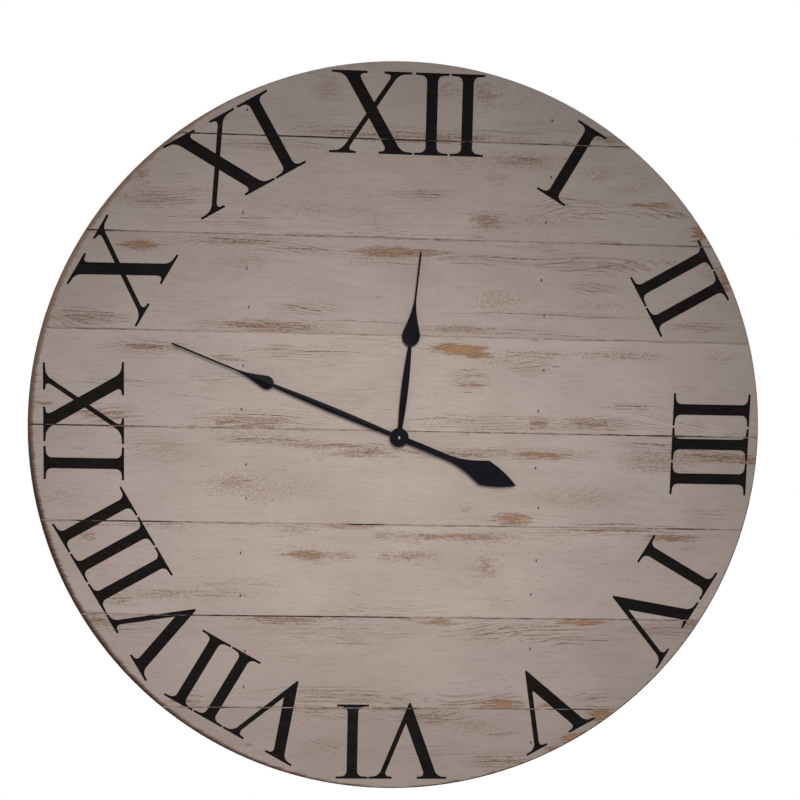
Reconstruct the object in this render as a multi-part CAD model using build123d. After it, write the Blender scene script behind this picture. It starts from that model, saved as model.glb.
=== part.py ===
from build123d import *
import os
from math import ceil, cos, radians, sin, sqrt

# A round wall clock of horizontal boards on two battens, with stamped spade hands and a quartz movement
# behind. Sizes are in millimetres. The pieces are laid out flat as on a bench: X to the right and Y up the
# dial as the viewer sees it, Z from the wall to the viewer. They are stood up as they are written, Z up and
# the dial facing -Y.

# Dial boards
dial_diameter = 914.4
board_width = 118.4
board_gap = 0.4
board_thickness = 19.0
board_edge_ease = 0.7
rim_ease = 3.0
seam_above_hub = 6.8
hub_hole_diameter = 9.5

# Battens behind the boards
batten_width = 38.0
batten_thickness = 19.0
batten_left_x = -192.0
batten_right_x = 176.0
batten_rim_margin = 6.0

# Brads, driven through the boards into the battens by hand
brad_thickness = 1.4
brad_width = 1.6
brad_head_width = 2.9
brad_head_height = 0.8
brad_length = 32.0
brad_set_depth = 1.2
brad_above_seam = 27.0
brad_spacing = 49.0
brad_outer_share = 0.7
brad_wander = 4.0
brad_screw_gap = 0.3
brad_clearance = 0.02
dent_thickness = 1.8
dent_width = 4.2

# Keyhole hangers let into the battens
hanger_height = 296.0
hanger_width = 16.0
hanger_length = 46.0
hanger_thickness = 1.5
hanger_clearance = 0.1
keyhole_entry_diameter = 9.6
keyhole_slot_width = 5.2
keyhole_rise = 10.0
dado_margin = 6.5
dado_depth = 10.5
hanger_screw_spacing = 34.0
hanger_screw_diameter = 3.5
hanger_screw_head = 7.0
hanger_screw_head_height = 1.3
hanger_screw_length = 14.0
screw_clearance = 0.05

# Clamping stack on the movement's threaded bushing
rubber_thickness = 1.0
rubber_diameter = 22.0
washer_thickness = 1.0
washer_diameter = 16.0
nut_across_flats = 12.7
nut_height = 2.6
bushing_diameter = 7.9
bushing_proud = 5.2
bushing_clearance = 0.15
thread_clearance = 0.02

# Movement housing
case_wall = 1.2
case_corner_radius = 3.0
cover_thickness = 1.5
plate_thickness = 1.0
motor_depth = 3.6
wall_clearance = 0.4
catch_width = 4.8
catch_height = 1.5
catch_depth = 0.8
catch_below_cover = 4.0
leg_width = 10.0
leg_length = 7.0
leg_thickness = 1.2
leg_clearance = 0.05
post_width = 3.0
dowel_diameter = 1.6
boss_diameter = 3.2
boss_height = 0.6

# Wheel train and motion work
wheel_thickness = 1.0
level_gap = 0.6
clutch_room = 0.6
motion_thickness = 0.8
run_gap = 0.3
shaft_clearance = 0.05
arbor_diameter = 1.4
pivot_diameter = 0.8
pivot_depth = 1.0
end_shake = 0.1
rotor_leaves = 8
intermediate_teeth = 48
intermediate_leaves = 8
second_teeth = 40
second_leaves = 8
third_teeth = 60
third_leaves = 8
minute_teeth = 64
cannon_leaves = 12
minute_work_teeth = 36
minute_work_leaves = 10
hour_teeth = 40
rotor_module = 0.28
intermediate_module = 0.46
second_module = 0.32
motion_module = 0.5
third_angle = 80.0
intermediate_angle = 5.0
rotor_angle = 45.0
minute_work_angle = 160.0

# Tooth form, in modules and in shares of a tooth's half angle at the pitch circle
wheel_addendum = 0.80
wheel_dedendum = 1.05
wheel_slack = 0.10
wheel_root_share = 1.20
leaf_addendum = 0.70
leaf_dedendum = 1.10
leaf_slack = 0.12
tip_share = 0.46

# Shafts of the hands and the setting knob
minute_shaft_diameter = 3.5
minute_shaft_flats = 2.2
cannon_journal_diameter = 4.4
clutch_flange_diameter = 5.2
clutch_flange_thickness = 0.4
clutch_clearance = 0.05
hour_tube_diameter = 5.0
setting_stem_diameter = 1.8
knob_diameter = 12.0
knob_thickness = 2.2
knob_inset = 0.2
knob_clearance = 0.3
knob_ribs = 12
knob_rib_depth = 0.7

# Stepping motor
magnet_diameter = 4.4
magnet_thickness = 1.8
stator_hole_diameter = 6.0
stator_thickness = 1.0
stator_half_width = 3.7
stator_lift = 1.4
stud_diameter = 4.0
stud_pin_diameter = 1.4
coil_diameter = 5.4
coil_length = 22.0
coil_gap = 0.3
coil_flange_thickness = 0.8
core_width = 3.0
core_thickness = 1.0
core_overhang = 3.5
core_clearance = 0.05

# Circuit, battery and contacts
circuit_width = 5.4
circuit_thickness = 1.0
circuit_lift = 0.8
chip_diameter = 4.0
chip_height = 0.8
crystal_diameter = 2.0
crystal_length = 6.2
pad_diameter = 2.4
pad_pin_diameter = 1.2
pad_spacing = 40.0
battery_diameter = 14.2
battery_length = 49.5
battery_nub_diameter = 5.5
battery_nub_length = 1.0
battery_edge_ease = 0.6
battery_clearance = 0.5
battery_seat_gap = 0.2
contact_thickness = 0.4
contact_width = 10.0
contact_strip_width = 4.0
contact_spring_reach = 2.3
contact_spring_span = 9.0
contact_touch_gap = 0.05

# Hands
sheet_thickness = 0.8
fold_slope = 0.18
hand_clearance = 0.6
hour_angle = 5.4
minute_angle = 291.5
hour_hub_diameter = 20.0
hour_length = 228.5
hour_stem_half = 4.4
hour_neck_at = 113.5
hour_bulb_half = 11.0
hour_bulb_at = 126.5
hour_needle_at = 174.0
collet_diameter = 8.0
collet_height = 2.0
collet_gap = 0.4
minute_hub_diameter = 23.4
minute_length = 299.5
minute_stem_half = 3.7
minute_neck_at = 167.5
minute_bulb_half = 8.1
minute_bulb_at = 176.5
minute_needle_at = 216.0
stem_root_half = 2.4
stem_neck_half = 2.0
needle_half = 1.1
tail_neck_half = 3.6
tail_flare_at = 62.0
tail_half = 16.2
tail_wide_at = 115.0
tail_length = 158.5
hand_fit = 0.02
minute_nut_across_flats = 5.5
minute_nut_height = 2.0
shaft_tip_proud = 0.5

# Places along Z, worked out from the wall to the viewer and back from the boards into the movement
dial_radius = dial_diameter / 2
board_pitch = board_width + board_gap
board_back = batten_thickness
board_face = board_back + board_thickness
case_front = board_back - rubber_thickness
cover_back = case_front - cover_thickness
hour_high = cover_back - run_gap
hour_low = hour_high - motion_thickness
work_high = hour_low - run_gap
work_low = work_high - motion_thickness
plate_front = work_low - run_gap
plate_back = plate_front - plate_thickness
minute_low = plate_back - level_gap - wheel_thickness
minute_high = minute_low + wheel_thickness
third_low = minute_low - clutch_room - level_gap - wheel_thickness
third_high = third_low + wheel_thickness
second_low = third_low - level_gap - wheel_thickness
second_high = second_low + wheel_thickness
intermediate_low = second_low - level_gap - wheel_thickness
intermediate_high = intermediate_low + wheel_thickness
case_floor = intermediate_low - motor_depth
case_rear = case_floor - case_wall
boss_top = case_floor + boss_height
bushing_end = board_face + bushing_proud
hour_hand_back = bushing_end + collet_gap + collet_height
hour_hand_top = hour_hand_back + sheet_thickness
hour_tube_end = hour_hand_top + end_shake
minute_hand_top = hour_hand_top + hand_clearance + fold_slope * minute_bulb_half + sheet_thickness
minute_hand_back = minute_hand_top - sheet_thickness
shaft_tip = minute_hand_top + minute_nut_height + shaft_tip_proud


def polar(distance, angle, start=(0.0, 0.0)):
    """Point at a distance and angle from a start point, in the plane of the dial."""
    return (start[0] + distance * cos(radians(angle)), start[1] + distance * sin(radians(angle)))


# Centre distances of the wheels. Two meshes that share an axis pair share its distance.
third_distance = second_module * (second_leaves + third_teeth) / 2
third_module = 2 * third_distance / (third_leaves + minute_teeth)
intermediate_distance = intermediate_module * (intermediate_leaves + second_teeth) / 2
rotor_distance = rotor_module * (rotor_leaves + intermediate_teeth) / 2
minute_work_distance = motion_module * (cannon_leaves + minute_work_teeth) / 2
hour_module = 2 * minute_work_distance / (minute_work_leaves + hour_teeth)
hub = (0.0, 0.0)
third_place = polar(third_distance, third_angle)
intermediate_place = polar(intermediate_distance, intermediate_angle)
rotor_place = polar(rotor_distance, rotor_angle, intermediate_place)
minute_work_place = polar(minute_work_distance, minute_work_angle)

# Plan of the housing, grown from what it holds: wheels in the middle, battery below, motor at the right and
# circuit at the top
hour_wheel_radius = hour_module * (hour_teeth / 2 + wheel_addendum)
partition_top = -hour_wheel_radius - wall_clearance
bay_top = partition_top - case_wall
bay_height = battery_diameter + 2 * battery_clearance
bay_bottom = bay_top - bay_height
case_bottom = bay_bottom - case_wall
battery_y = (bay_top + bay_bottom) / 2
battery_z = cover_back - battery_seat_gap - battery_diameter / 2
stator_right = rotor_place[0] + stator_half_width
stator_left = rotor_place[0] - stator_half_width
coil_x = stator_right + coil_gap + coil_diameter / 2
coil_y = rotor_place[1] - (stator_half_width - stator_hole_diameter / 2)
stator_top = coil_y + coil_length / 2 + core_overhang
stator_bottom = coil_y - coil_length / 2 - core_overhang
stator_low = case_floor + stator_lift
stator_high = stator_low + stator_thickness
core_high = stator_high + core_thickness
third_wheel_radius = second_module * (third_teeth / 2 + wheel_addendum)
circuit_bottom = max(stator_top, third_place[1] + third_wheel_radius) + wall_clearance
circuit_top = circuit_bottom + circuit_width
chamber_top = circuit_top + wall_clearance
case_top = chamber_top + case_wall
bay_half = (battery_length + battery_nub_length + contact_spring_reach) / 2 + contact_thickness
motor_half = coil_x + coil_diameter / 2 + contact_thickness + wall_clearance
chamber_half = max(bay_half, motor_half)
case_half = chamber_half + case_wall
circuit_low = case_floor + circuit_lift
circuit_high = circuit_low + circuit_thickness
strip_low = circuit_low - contact_thickness
strip_high = strip_low + contact_strip_width
knob_floor = case_rear + knob_inset + knob_thickness + run_gap / 2
post_inset = post_width / 2 + contact_thickness + wall_clearance
post_places = [
    (-chamber_half + post_inset, partition_top + post_width / 2 + wall_clearance),
    (-chamber_half + post_inset, circuit_bottom - post_width / 2 - wall_clearance),
    (stator_left - post_width / 2 - wall_clearance, circuit_bottom - post_width / 2 - wall_clearance),
    (intermediate_place[0] - post_width / 2, partition_top + post_width / 2),
]
dowel_places = [post_places[0], post_places[2]]
stud_places = [
    (rotor_place[0], stator_bottom + core_overhang / 2),
    (rotor_place[0], stator_top - core_overhang / 2),
]
pad_places = [(side * pad_spacing / 2, (circuit_bottom + circuit_top) / 2) for side in (-1, 1)]


def disc(diameter, low, high, place=hub):
    """Round bar along Z between two heights."""
    bar = Cylinder(diameter / 2, high - low, align=(Align.CENTER, Align.CENTER, Align.MIN))
    return Pos(place[0], place[1], low) * bar


def block(left, right, bottom, top, low, high):
    """Box between six planes."""
    corner = (Align.MIN, Align.MIN, Align.MIN)
    return Pos(left, bottom, low) * Box(right - left, top - bottom, high - low, align=corner)


def rounded_block(half_width, bottom, top, low, high):
    """Box with its four upright corners rounded, for the housing and its cover."""
    body = block(-half_width, half_width, bottom, top, low, high)
    return fillet(body.edges().filter_by(Axis.Z), case_corner_radius)


def toothed_disc(teeth, module, low, high, place, tooth_angle, leaves=False):
    """Gear with one tooth at tooth_angle. Wheel teeth have straight flanks. A pinion's leaves have radial
    flanks up to the pitch circle, and both narrow to the tip, so that they pass each other with backlash."""
    pitch_radius = module * teeth / 2
    addendum = leaf_addendum if leaves else wheel_addendum
    dedendum = leaf_dedendum if leaves else wheel_dedendum
    slack = leaf_slack if leaves else wheel_slack
    tip_radius = pitch_radius + addendum * module
    root_radius = pitch_radius - dedendum * module
    half = 90 / teeth * (1 - slack)
    if leaves:
        flank = [(root_radius, half), (pitch_radius, half), (tip_radius, half * tip_share)]
    else:
        flank = [(root_radius, half * wheel_root_share), (tip_radius, half * tip_share)]
    points = []
    for n in range(teeth):
        middle = tooth_angle + 360 * n / teeth
        points += [polar(radius, middle - angle) for radius, angle in flank]
        points += [polar(radius, middle + angle) for radius, angle in reversed(flank)]
    outline = make_face(Polyline(*points, close=True))
    return Pos(place[0], place[1], low) * extrude(outline, high - low)


def facing_gap(teeth, angle):
    """Tooth angle of a wheel that turns a gap between teeth to a pinion lying at this angle from it."""
    return angle + 180 / teeth


def arbor(place, front_pivot_end, shoulder_high):
    """Arbor from the rear boss to a shoulder, with a pivot at each end."""
    shoulder_low = boss_top + end_shake
    bar = disc(arbor_diameter, shoulder_low, shoulder_high, place)
    pivots = disc(pivot_diameter, boss_top - pivot_depth + end_shake, front_pivot_end, place)
    return bar + pivots


def save(name, shape):
    """Writes one piece, stood up from the bench to the wall."""
    export_step(Rot(90, 0, 0) * shape, f"parts/{name}.step")


os.makedirs("parts", exist_ok=True)

# Boards: one disc with an eased front rim, sawn into boards whose long front edges are eased
board_count = ceil((dial_diameter + 2 * seam_above_hub) / board_pitch)
top_edge = seam_above_hub + board_count / 2 * board_pitch - board_gap / 2
board_tops = [top_edge - n * board_pitch for n in range(board_count)]


def batten_half_length(x):
    """Half the length of a batten, whose outer corners stay inside the rim."""
    return sqrt(dial_radius**2 - (abs(x) + batten_width / 2) ** 2) - batten_rim_margin


def brad_rows(n, x):
    """Heights of the brads that hold board n to the batten at x. The outer boards take one each."""
    low = board_tops[n] - board_width
    if n == 0:
        return [low + brad_outer_share * (batten_half_length(x) - low)]
    if n == board_count - 1:
        return [board_tops[n] - brad_outer_share * (batten_half_length(x) + board_tops[n])]
    return [low + brad_above_seam, low + brad_above_seam + brad_spacing]


def clear_of_hanger(y):
    """Height of a brad, moved past the nearer hanger screw where it would come out in the hanger's dado."""
    reach = (hanger_screw_spacing + hanger_screw_diameter + brad_width) / 2 + brad_screw_gap
    if abs(y - hanger_height) < reach:
        return hanger_height + reach if y > hanger_height else hanger_height - reach
    return y


brad_places = []
for n in range(board_count):
    for x in (batten_left_x, batten_right_x):
        for row, y in enumerate(brad_rows(n, x)):
            turn = 2.4 * (len(brad_places) + row)
            height = clear_of_hanger(y + brad_wander * cos(1.7 * turn))
            brad_places.append((x + brad_wander * sin(turn), height))


def brad(place, grow=0.0):
    """Flat-headed brad, set below the face. Grown a little, it is also the hole it leaves."""
    head_top = board_face - brad_set_depth
    x, y = place
    side = brad_thickness / 2 + grow
    shank_half = brad_width / 2 + grow
    head_half = brad_head_width / 2 + grow
    shank_low = head_top - brad_length - grow
    head_low = head_top - brad_head_height - grow
    shank = block(x - side, x + side, y - shank_half, y + shank_half, shank_low, head_top)
    head = block(x - side, x + side, y - head_half, y + head_half, head_low, head_top)
    return shank + head


def brad_hole(place):
    """Hole of a brad with the dent that the driver leaves over it."""
    x, y = place
    dent = block(x - dent_thickness / 2, x + dent_thickness / 2, y - dent_width / 2, y + dent_width / 2,
                 board_face - brad_set_depth, board_face + brad_set_depth)
    return brad(place, brad_clearance) + dent


brad_holes = [brad_hole(place) for place in brad_places]
dial = disc(dial_diameter, board_back, board_face)
dial = chamfer(dial.edges().group_by(Axis.Z)[-1], rim_ease)
dial -= disc(hub_hole_diameter, board_back, board_face)
for n, top in enumerate(board_tops):
    slab = block(-dial_radius, dial_radius, top - board_width, top, board_back, board_face)
    slab = chamfer(slab.edges().filter_by(Axis.X).group_by(Axis.Z)[-1], board_edge_ease)
    board = dial & slab
    near = [hole for hole, place in zip(brad_holes, brad_places) if top - board_width < place[1] < top]
    save(f"board_{n + 1}", board - near)
save("brads", Compound([brad(place).solid() for place in brad_places]))

# Battens with their keyhole hangers: a plate let in flush at the back, over a dado for the wall screw's head
keyhole_entry = hanger_height - keyhole_rise / 2
keyhole_end = hanger_height + keyhole_rise / 2


def upright_slot(x, bottom, top, width, low, high):
    """Slot with round ends, bottom and top being the centres of the ends."""
    ends = disc(width, low, high, (x, bottom)) + disc(width, low, high, (x, top))
    return ends + block(x - width / 2, x + width / 2, bottom, top, low, high)


def hanger_screw(x, y, grow=0.0):
    """Countersunk screw with its head flush with the hanger's back."""
    head_radius = hanger_screw_head / 2 + grow
    shank_radius = hanger_screw_diameter / 2 + grow
    base = (Align.CENTER, Align.CENTER, Align.MIN)
    head = Pos(x, y, 0) * Cone(head_radius, shank_radius, hanger_screw_head_height, align=base)
    return head + disc(2 * shank_radius, 0, hanger_screw_length + grow, (x, y))


hanger_screws = []
for side, x in (("left", batten_left_x), ("right", batten_right_x)):
    straight = (hanger_length - hanger_width) / 2
    screw_rows = [hanger_height - hanger_screw_spacing / 2, hanger_height + hanger_screw_spacing / 2]
    half_length = batten_half_length(x)
    left, right = x - batten_width / 2, x + batten_width / 2
    hanger_bottom, hanger_top = hanger_height - straight, hanger_height + straight
    seat_width = hanger_width + 2 * hanger_clearance
    batten = block(left, right, -half_length, half_length, 0, batten_thickness)
    batten -= upright_slot(x, hanger_bottom, hanger_top, seat_width, 0, hanger_thickness)
    batten -= block(left, right, keyhole_entry - dado_margin, keyhole_end + dado_margin, 0, dado_depth)
    batten -= [hanger_screw(x, y, screw_clearance) for y in screw_rows]
    batten -= [hole for hole, place in zip(brad_holes, brad_places) if abs(place[0] - x) < batten_width / 2]
    save(f"batten_{side}", batten)
    hanger = upright_slot(x, hanger_bottom, hanger_top, hanger_width, 0, hanger_thickness)
    hanger -= disc(keyhole_entry_diameter, 0, hanger_thickness, (x, keyhole_entry))
    hanger -= upright_slot(x, keyhole_entry, keyhole_end, keyhole_slot_width, 0, hanger_thickness)
    hanger -= [hanger_screw(x, y, screw_clearance) for y in screw_rows]
    save(f"hanger_{side}", hanger)
    hanger_screws += [hanger_screw(x, y).solid() for y in screw_rows]
save("hanger_screws", Compound(hanger_screws))

# Rear case: a moulded box with the wheel chamber open to the front and the battery bay open to the back
rear_case = rounded_block(case_half, case_bottom, case_top, case_rear, cover_back)
rear_case -= block(-chamber_half, chamber_half, partition_top, chamber_top, case_floor, cover_back)
rear_case -= block(-chamber_half, chamber_half, bay_bottom, bay_top, case_rear, cover_back)
knob_recess = knob_diameter + 2 * knob_clearance
cup_floor = knob_floor + case_wall
stem_hole = setting_stem_diameter + 2 * shaft_clearance
rear_case += disc(knob_recess + 2 * case_wall, case_floor, cup_floor, minute_work_place)
rear_case -= disc(knob_recess, case_rear, knob_floor, minute_work_place)
rear_case -= disc(stem_hole, knob_floor, cup_floor, minute_work_place)
for place in (hub, third_place, intermediate_place, rotor_place):
    rear_case += disc(boss_diameter, case_floor, boss_top, place)
    rear_case -= disc(pivot_diameter + 2 * shaft_clearance, boss_top - pivot_depth, boss_top, place)
for x, y in post_places:
    half = post_width / 2
    rear_case += block(x - half, x + half, y - half, y + half, case_floor, plate_back)
for place in dowel_places:
    rear_case += disc(dowel_diameter, plate_back, plate_front, place)
for place in stud_places:
    rear_case += disc(stud_diameter, case_floor, stator_low, place)
    rear_case += disc(stud_pin_diameter, stator_low, stator_high, place)
for place in pad_places:
    rear_case += disc(pad_diameter, case_floor, circuit_low, place)
    rear_case += disc(pad_pin_diameter, circuit_low, circuit_high, place)
catch_top = cover_back - catch_below_cover
for side in (-1, 1):
    slot_x = side * (chamber_half - contact_thickness / 2)
    slot_half = contact_thickness / 2
    rear_case -= block(slot_x - slot_half, slot_x + slot_half, bay_top, partition_top, strip_low, strip_high)
    catch = Box(catch_depth, catch_width, catch_height, align=(Align.CENTER, Align.CENTER, Align.MAX))
    rear_case += Pos(side * (case_half + catch_depth / 2), 0, catch_top) * catch
save("rear_case", rear_case)

# Front cover: a plate with the threaded bushing, and a snap leg each side that hooks over the case's catch
front_cover = rounded_block(case_half, case_bottom, case_top, cover_back, case_front)
for side in (-1, 1):
    inner = case_half + leg_clearance
    outer = inner + leg_thickness
    leg = block(inner, outer, -leg_width / 2, leg_width / 2, cover_back - leg_length, case_front)
    leg += block(case_half - leg_thickness, inner, -leg_width / 2, leg_width / 2, cover_back, case_front)
    window_half = catch_width / 2 + leg_clearance
    window_low = catch_top - catch_height - leg_clearance
    leg -= block(inner, outer, -window_half, window_half, window_low, catch_top + leg_clearance)
    front_cover += leg if side > 0 else mirror(leg, Plane.YZ)
front_cover += disc(bushing_diameter, case_front, bushing_end)
front_cover -= disc(hour_tube_diameter + 2 * shaft_clearance, cover_back, bushing_end)
pivot_hole = pivot_diameter + 2 * shaft_clearance
front_cover -= disc(pivot_hole, cover_back, cover_back + pivot_depth, minute_work_place)
save("front_cover", front_cover)

# Gear plate on the case's posts: it carries the front pivots of the train and the cannon's journal
gear_plate = block(-chamber_half + post_inset - post_width / 2, stator_right,
                   partition_top + wall_clearance, circuit_bottom - wall_clearance, plate_back, plate_front)
gear_plate -= disc(cannon_journal_diameter + 2 * shaft_clearance, plate_back, plate_front)
gear_plate -= disc(stem_hole, plate_back, plate_front, minute_work_place)
for place in (third_place, intermediate_place, rotor_place):
    gear_plate -= disc(pivot_hole, plate_back, plate_front, place)
for place in dowel_places:
    gear_plate -= disc(dowel_diameter + 2 * shaft_clearance, plate_back, plate_front, place)
save("gear_plate", gear_plate)

# Stepping motor: stator plate round the rotor, with a wound core bridging its two ends
tab_right = coil_x + core_width / 2
stator = block(stator_left, stator_right, stator_bottom, stator_top, stator_low, stator_high)
for bottom in (stator_bottom, stator_top - core_overhang):
    stator += block(stator_right, tab_right, bottom, bottom + core_overhang, stator_low, stator_high)
stator -= disc(stator_hole_diameter, stator_low, stator_high, rotor_place)
for place in stud_places:
    stator -= disc(stud_pin_diameter + 2 * shaft_clearance, stator_low, stator_high, place)
save("stator", stator)
coil_core = block(coil_x - core_width / 2, tab_right, stator_bottom, stator_top, stator_high, core_high)
save("coil_core", coil_core)
core_middle = (stator_high + core_high) / 2
coil = Rot(90, 0, 0) * Cylinder(coil_diameter / 2 - coil_gap, coil_length)
for end in (-1, 1):
    flange = Box(coil_diameter, coil_flange_thickness, coil_diameter)
    coil += Pos(0, end * (coil_length - coil_flange_thickness) / 2, 0) * flange
coil -= Box(core_width + 2 * core_clearance, coil_length, core_thickness + 2 * core_clearance)
save("coil", Pos(coil_x, coil_y, core_middle) * coil)

# Rotor: a magnet pressed on a plastic arbor with its pinion
magnet_low = (stator_low + stator_high - magnet_thickness) / 2
rotor_magnet = disc(magnet_diameter, magnet_low, magnet_low + magnet_thickness, rotor_place)
rotor_magnet -= disc(arbor_diameter + 2 * hand_fit, magnet_low, magnet_low + magnet_thickness, rotor_place)
save("rotor_magnet", rotor_magnet)
rotor_pinion = arbor(rotor_place, plate_front - end_shake, plate_back - end_shake)
rotor_pinion += toothed_disc(rotor_leaves, rotor_module, intermediate_low - run_gap,
                             intermediate_high + run_gap, rotor_place, rotor_angle + 180, leaves=True)
save("rotor_pinion", rotor_pinion)

# Wheels of the train, each turning the next one more slowly: rotor, intermediate, second, third, minute
intermediate_wheel = arbor(intermediate_place, plate_front - end_shake, plate_back - end_shake)
intermediate_wheel += toothed_disc(intermediate_teeth, rotor_module, intermediate_low, intermediate_high,
                                   intermediate_place, facing_gap(intermediate_teeth, rotor_angle))
intermediate_wheel += toothed_disc(intermediate_leaves, intermediate_module, intermediate_high,
                                   second_high + run_gap, intermediate_place, intermediate_angle + 180,
                                   leaves=True)
save("intermediate_wheel", intermediate_wheel)
clutch_low = minute_low - clutch_clearance - clutch_flange_thickness
second_pinion_high = third_high + level_gap / 2
second_wheel = arbor(hub, minute_low, second_pinion_high)
second_wheel += toothed_disc(second_teeth, intermediate_module, second_low, second_high, hub,
                             facing_gap(second_teeth, intermediate_angle))
second_wheel += toothed_disc(second_leaves, second_module, second_high, second_pinion_high, hub,
                             third_angle, leaves=True)
save("second_wheel", second_wheel)
third_wheel = arbor(third_place, plate_front - end_shake, plate_back - end_shake)
third_wheel += toothed_disc(third_teeth, second_module, third_low, third_high, third_place,
                            facing_gap(third_teeth, third_angle + 180))
third_wheel += toothed_disc(third_leaves, third_module, third_high, minute_high + run_gap, third_place,
                            third_angle + 180, leaves=True)
save("third_wheel", third_wheel)
minute_wheel = toothed_disc(minute_teeth, third_module, minute_low, minute_high, hub,
                            facing_gap(minute_teeth, third_angle))
minute_wheel -= disc(minute_shaft_diameter + 2 * shaft_clearance, minute_low, minute_high)
save("minute_wheel", minute_wheel)

# Minute shaft: clutch flange behind the minute wheel, journal in the gear plate, cannon pinion, flatted end
flats = block(-minute_shaft_flats / 2, minute_shaft_flats / 2, -minute_shaft_diameter, minute_shaft_diameter,
              minute_hand_back, shaft_tip)
minute_shaft = disc(minute_shaft_diameter, clutch_low, minute_hand_back)
minute_shaft += disc(minute_shaft_diameter, minute_hand_back, shaft_tip) & flats
minute_shaft += disc(clutch_flange_diameter, clutch_low, clutch_low + clutch_flange_thickness)
cannon_low = plate_front + run_gap / 2
minute_shaft += disc(cannon_journal_diameter, minute_high + clutch_clearance, cannon_low)
minute_shaft += toothed_disc(cannon_leaves, motion_module, cannon_low, work_high + run_gap / 2, hub,
                             minute_work_angle, leaves=True)
minute_shaft -= disc(pivot_diameter + 2 * shaft_clearance, clutch_low, minute_low + end_shake)
save("minute_shaft", minute_shaft)

# Motion work: the minute-work wheel on the setting stem turns the hour wheel once for twelve cannon turns
minute_work_wheel = toothed_disc(minute_work_teeth, motion_module, work_low, work_high, minute_work_place,
                                 facing_gap(minute_work_teeth, minute_work_angle + 180))
minute_work_wheel += toothed_disc(minute_work_leaves, hour_module, work_high, hour_high, minute_work_place,
                                  minute_work_angle + 180, leaves=True)
minute_work_wheel -= disc(setting_stem_diameter + 2 * hand_fit, work_low, hour_high, minute_work_place)
save("minute_work_wheel", minute_work_wheel)
hour_wheel = toothed_disc(hour_teeth, hour_module, hour_low, hour_high, hub,
                          facing_gap(hour_teeth, minute_work_angle))
hour_wheel += disc(hour_tube_diameter, hour_low, hour_tube_end)
hour_wheel -= disc(minute_shaft_diameter + 2 * shaft_clearance, hour_low, hour_tube_end)
save("hour_wheel", hour_wheel)

# Setting knob, sunk in the back of the case, on the stem that carries the minute-work wheel
knob_low = case_rear + knob_inset
knob_high = knob_low + knob_thickness
knob_points = []
for n in range(2 * knob_ribs):
    radius = knob_diameter / 2 - knob_rib_depth * (n % 2)
    knob_points.append(polar(radius, 180 * n / knob_ribs, minute_work_place))
knob_grip = extrude(make_face(Polyline(*knob_points, close=True)), knob_thickness)
setting_knob = Pos(0, 0, knob_low) * knob_grip
stem_end = cover_back - end_shake
setting_knob += disc(setting_stem_diameter, knob_high, stem_end, minute_work_place)
setting_knob += disc(pivot_diameter, stem_end, stem_end + pivot_depth, minute_work_place)
save("setting_knob", setting_knob)

# Circuit board with its chip, on two pads, and the quartz crystal lying on it
circuit_half = chamber_half - contact_thickness
circuit_board = block(-circuit_half, circuit_half, circuit_bottom, circuit_top, circuit_low, circuit_high)
circuit_middle = (circuit_bottom + circuit_top) / 2
circuit_board += disc(chip_diameter, circuit_high, circuit_high + chip_height, (0, circuit_middle))
for place in pad_places:
    circuit_board -= disc(pad_pin_diameter + 2 * shaft_clearance, circuit_low, circuit_high, place)
save("circuit_board", circuit_board)
crystal_x = -chip_diameter - crystal_length / 2
crystal_z = circuit_high + crystal_diameter / 2 + contact_touch_gap
crystal = Rot(0, 90, 0) * Cylinder(crystal_diameter / 2, crystal_length)
save("quartz_crystal", Pos(crystal_x, circuit_middle, crystal_z) * crystal)

# Battery along the bay, pushed by the negative spring against the positive contact
positive_x = chamber_half - contact_thickness
battery_right = positive_x - contact_touch_gap - battery_nub_length
battery_left = battery_right - battery_length
battery_axis = Pos((battery_left + battery_right) / 2, battery_y, battery_z) * Rot(0, 90, 0)
battery = Cylinder(battery_diameter / 2, battery_length)
battery = battery_axis * chamfer(battery.edges().filter_by(GeomType.CIRCLE), battery_edge_ease)
nub = Pos(battery_right + battery_nub_length / 2, battery_y, battery_z) * Rot(0, 90, 0)
battery += nub * Cylinder(battery_nub_diameter / 2, battery_nub_length)
save("battery", battery)


def contact(side):
    """Plate at one end of the bay with a strip along the case's wall to the circuit board."""
    outer = side * chamber_half
    inner = side * positive_x
    left, right = min(outer, inner), max(outer, inner)
    plate = block(left, right, battery_y - contact_width / 2, bay_top, strip_low, strip_low + contact_width)
    return plate + block(left, right, battery_y, circuit_top, strip_low, strip_high)


save("contact_positive", contact(1))
spring_apex = battery_left - contact_touch_gap
spring_half = contact_spring_span / 2
spring_feet = [(-positive_x, battery_y + side * spring_half) for side in (-1, 1)]
inner_half = spring_half - contact_thickness
inner_feet = [(-positive_x, battery_y + side * inner_half) for side in (-1, 1)]
bow = [ThreePointArc(spring_feet[0], (spring_apex, battery_y), spring_feet[1]),
       Line(spring_feet[1], inner_feet[1]),
       ThreePointArc(inner_feet[1], (spring_apex - contact_thickness, battery_y), inner_feet[0]),
       Line(inner_feet[0], spring_feet[0])]
spring = Pos(0, 0, battery_z - contact_width / 4) * extrude(make_face(bow), contact_width / 2)
save("contact_negative", contact(-1) + spring)

# Washers and nut that clamp the boards to the movement
bushing_hole = bushing_diameter + 2 * bushing_clearance
washer_front = board_face + washer_thickness


def washer(diameter, low, high):
    """Flat ring round the bushing."""
    return disc(diameter, low, high) - disc(bushing_hole, low, high)


def hexagon_nut(across_flats, low, height, bore):
    """Hexagon nut with a plain bore."""
    corner_radius = across_flats / sqrt(3)
    body = Pos(0, 0, low) * extrude(RegularPolygon(corner_radius, 6), height)
    return body - disc(bore, low, low + height)


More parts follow.
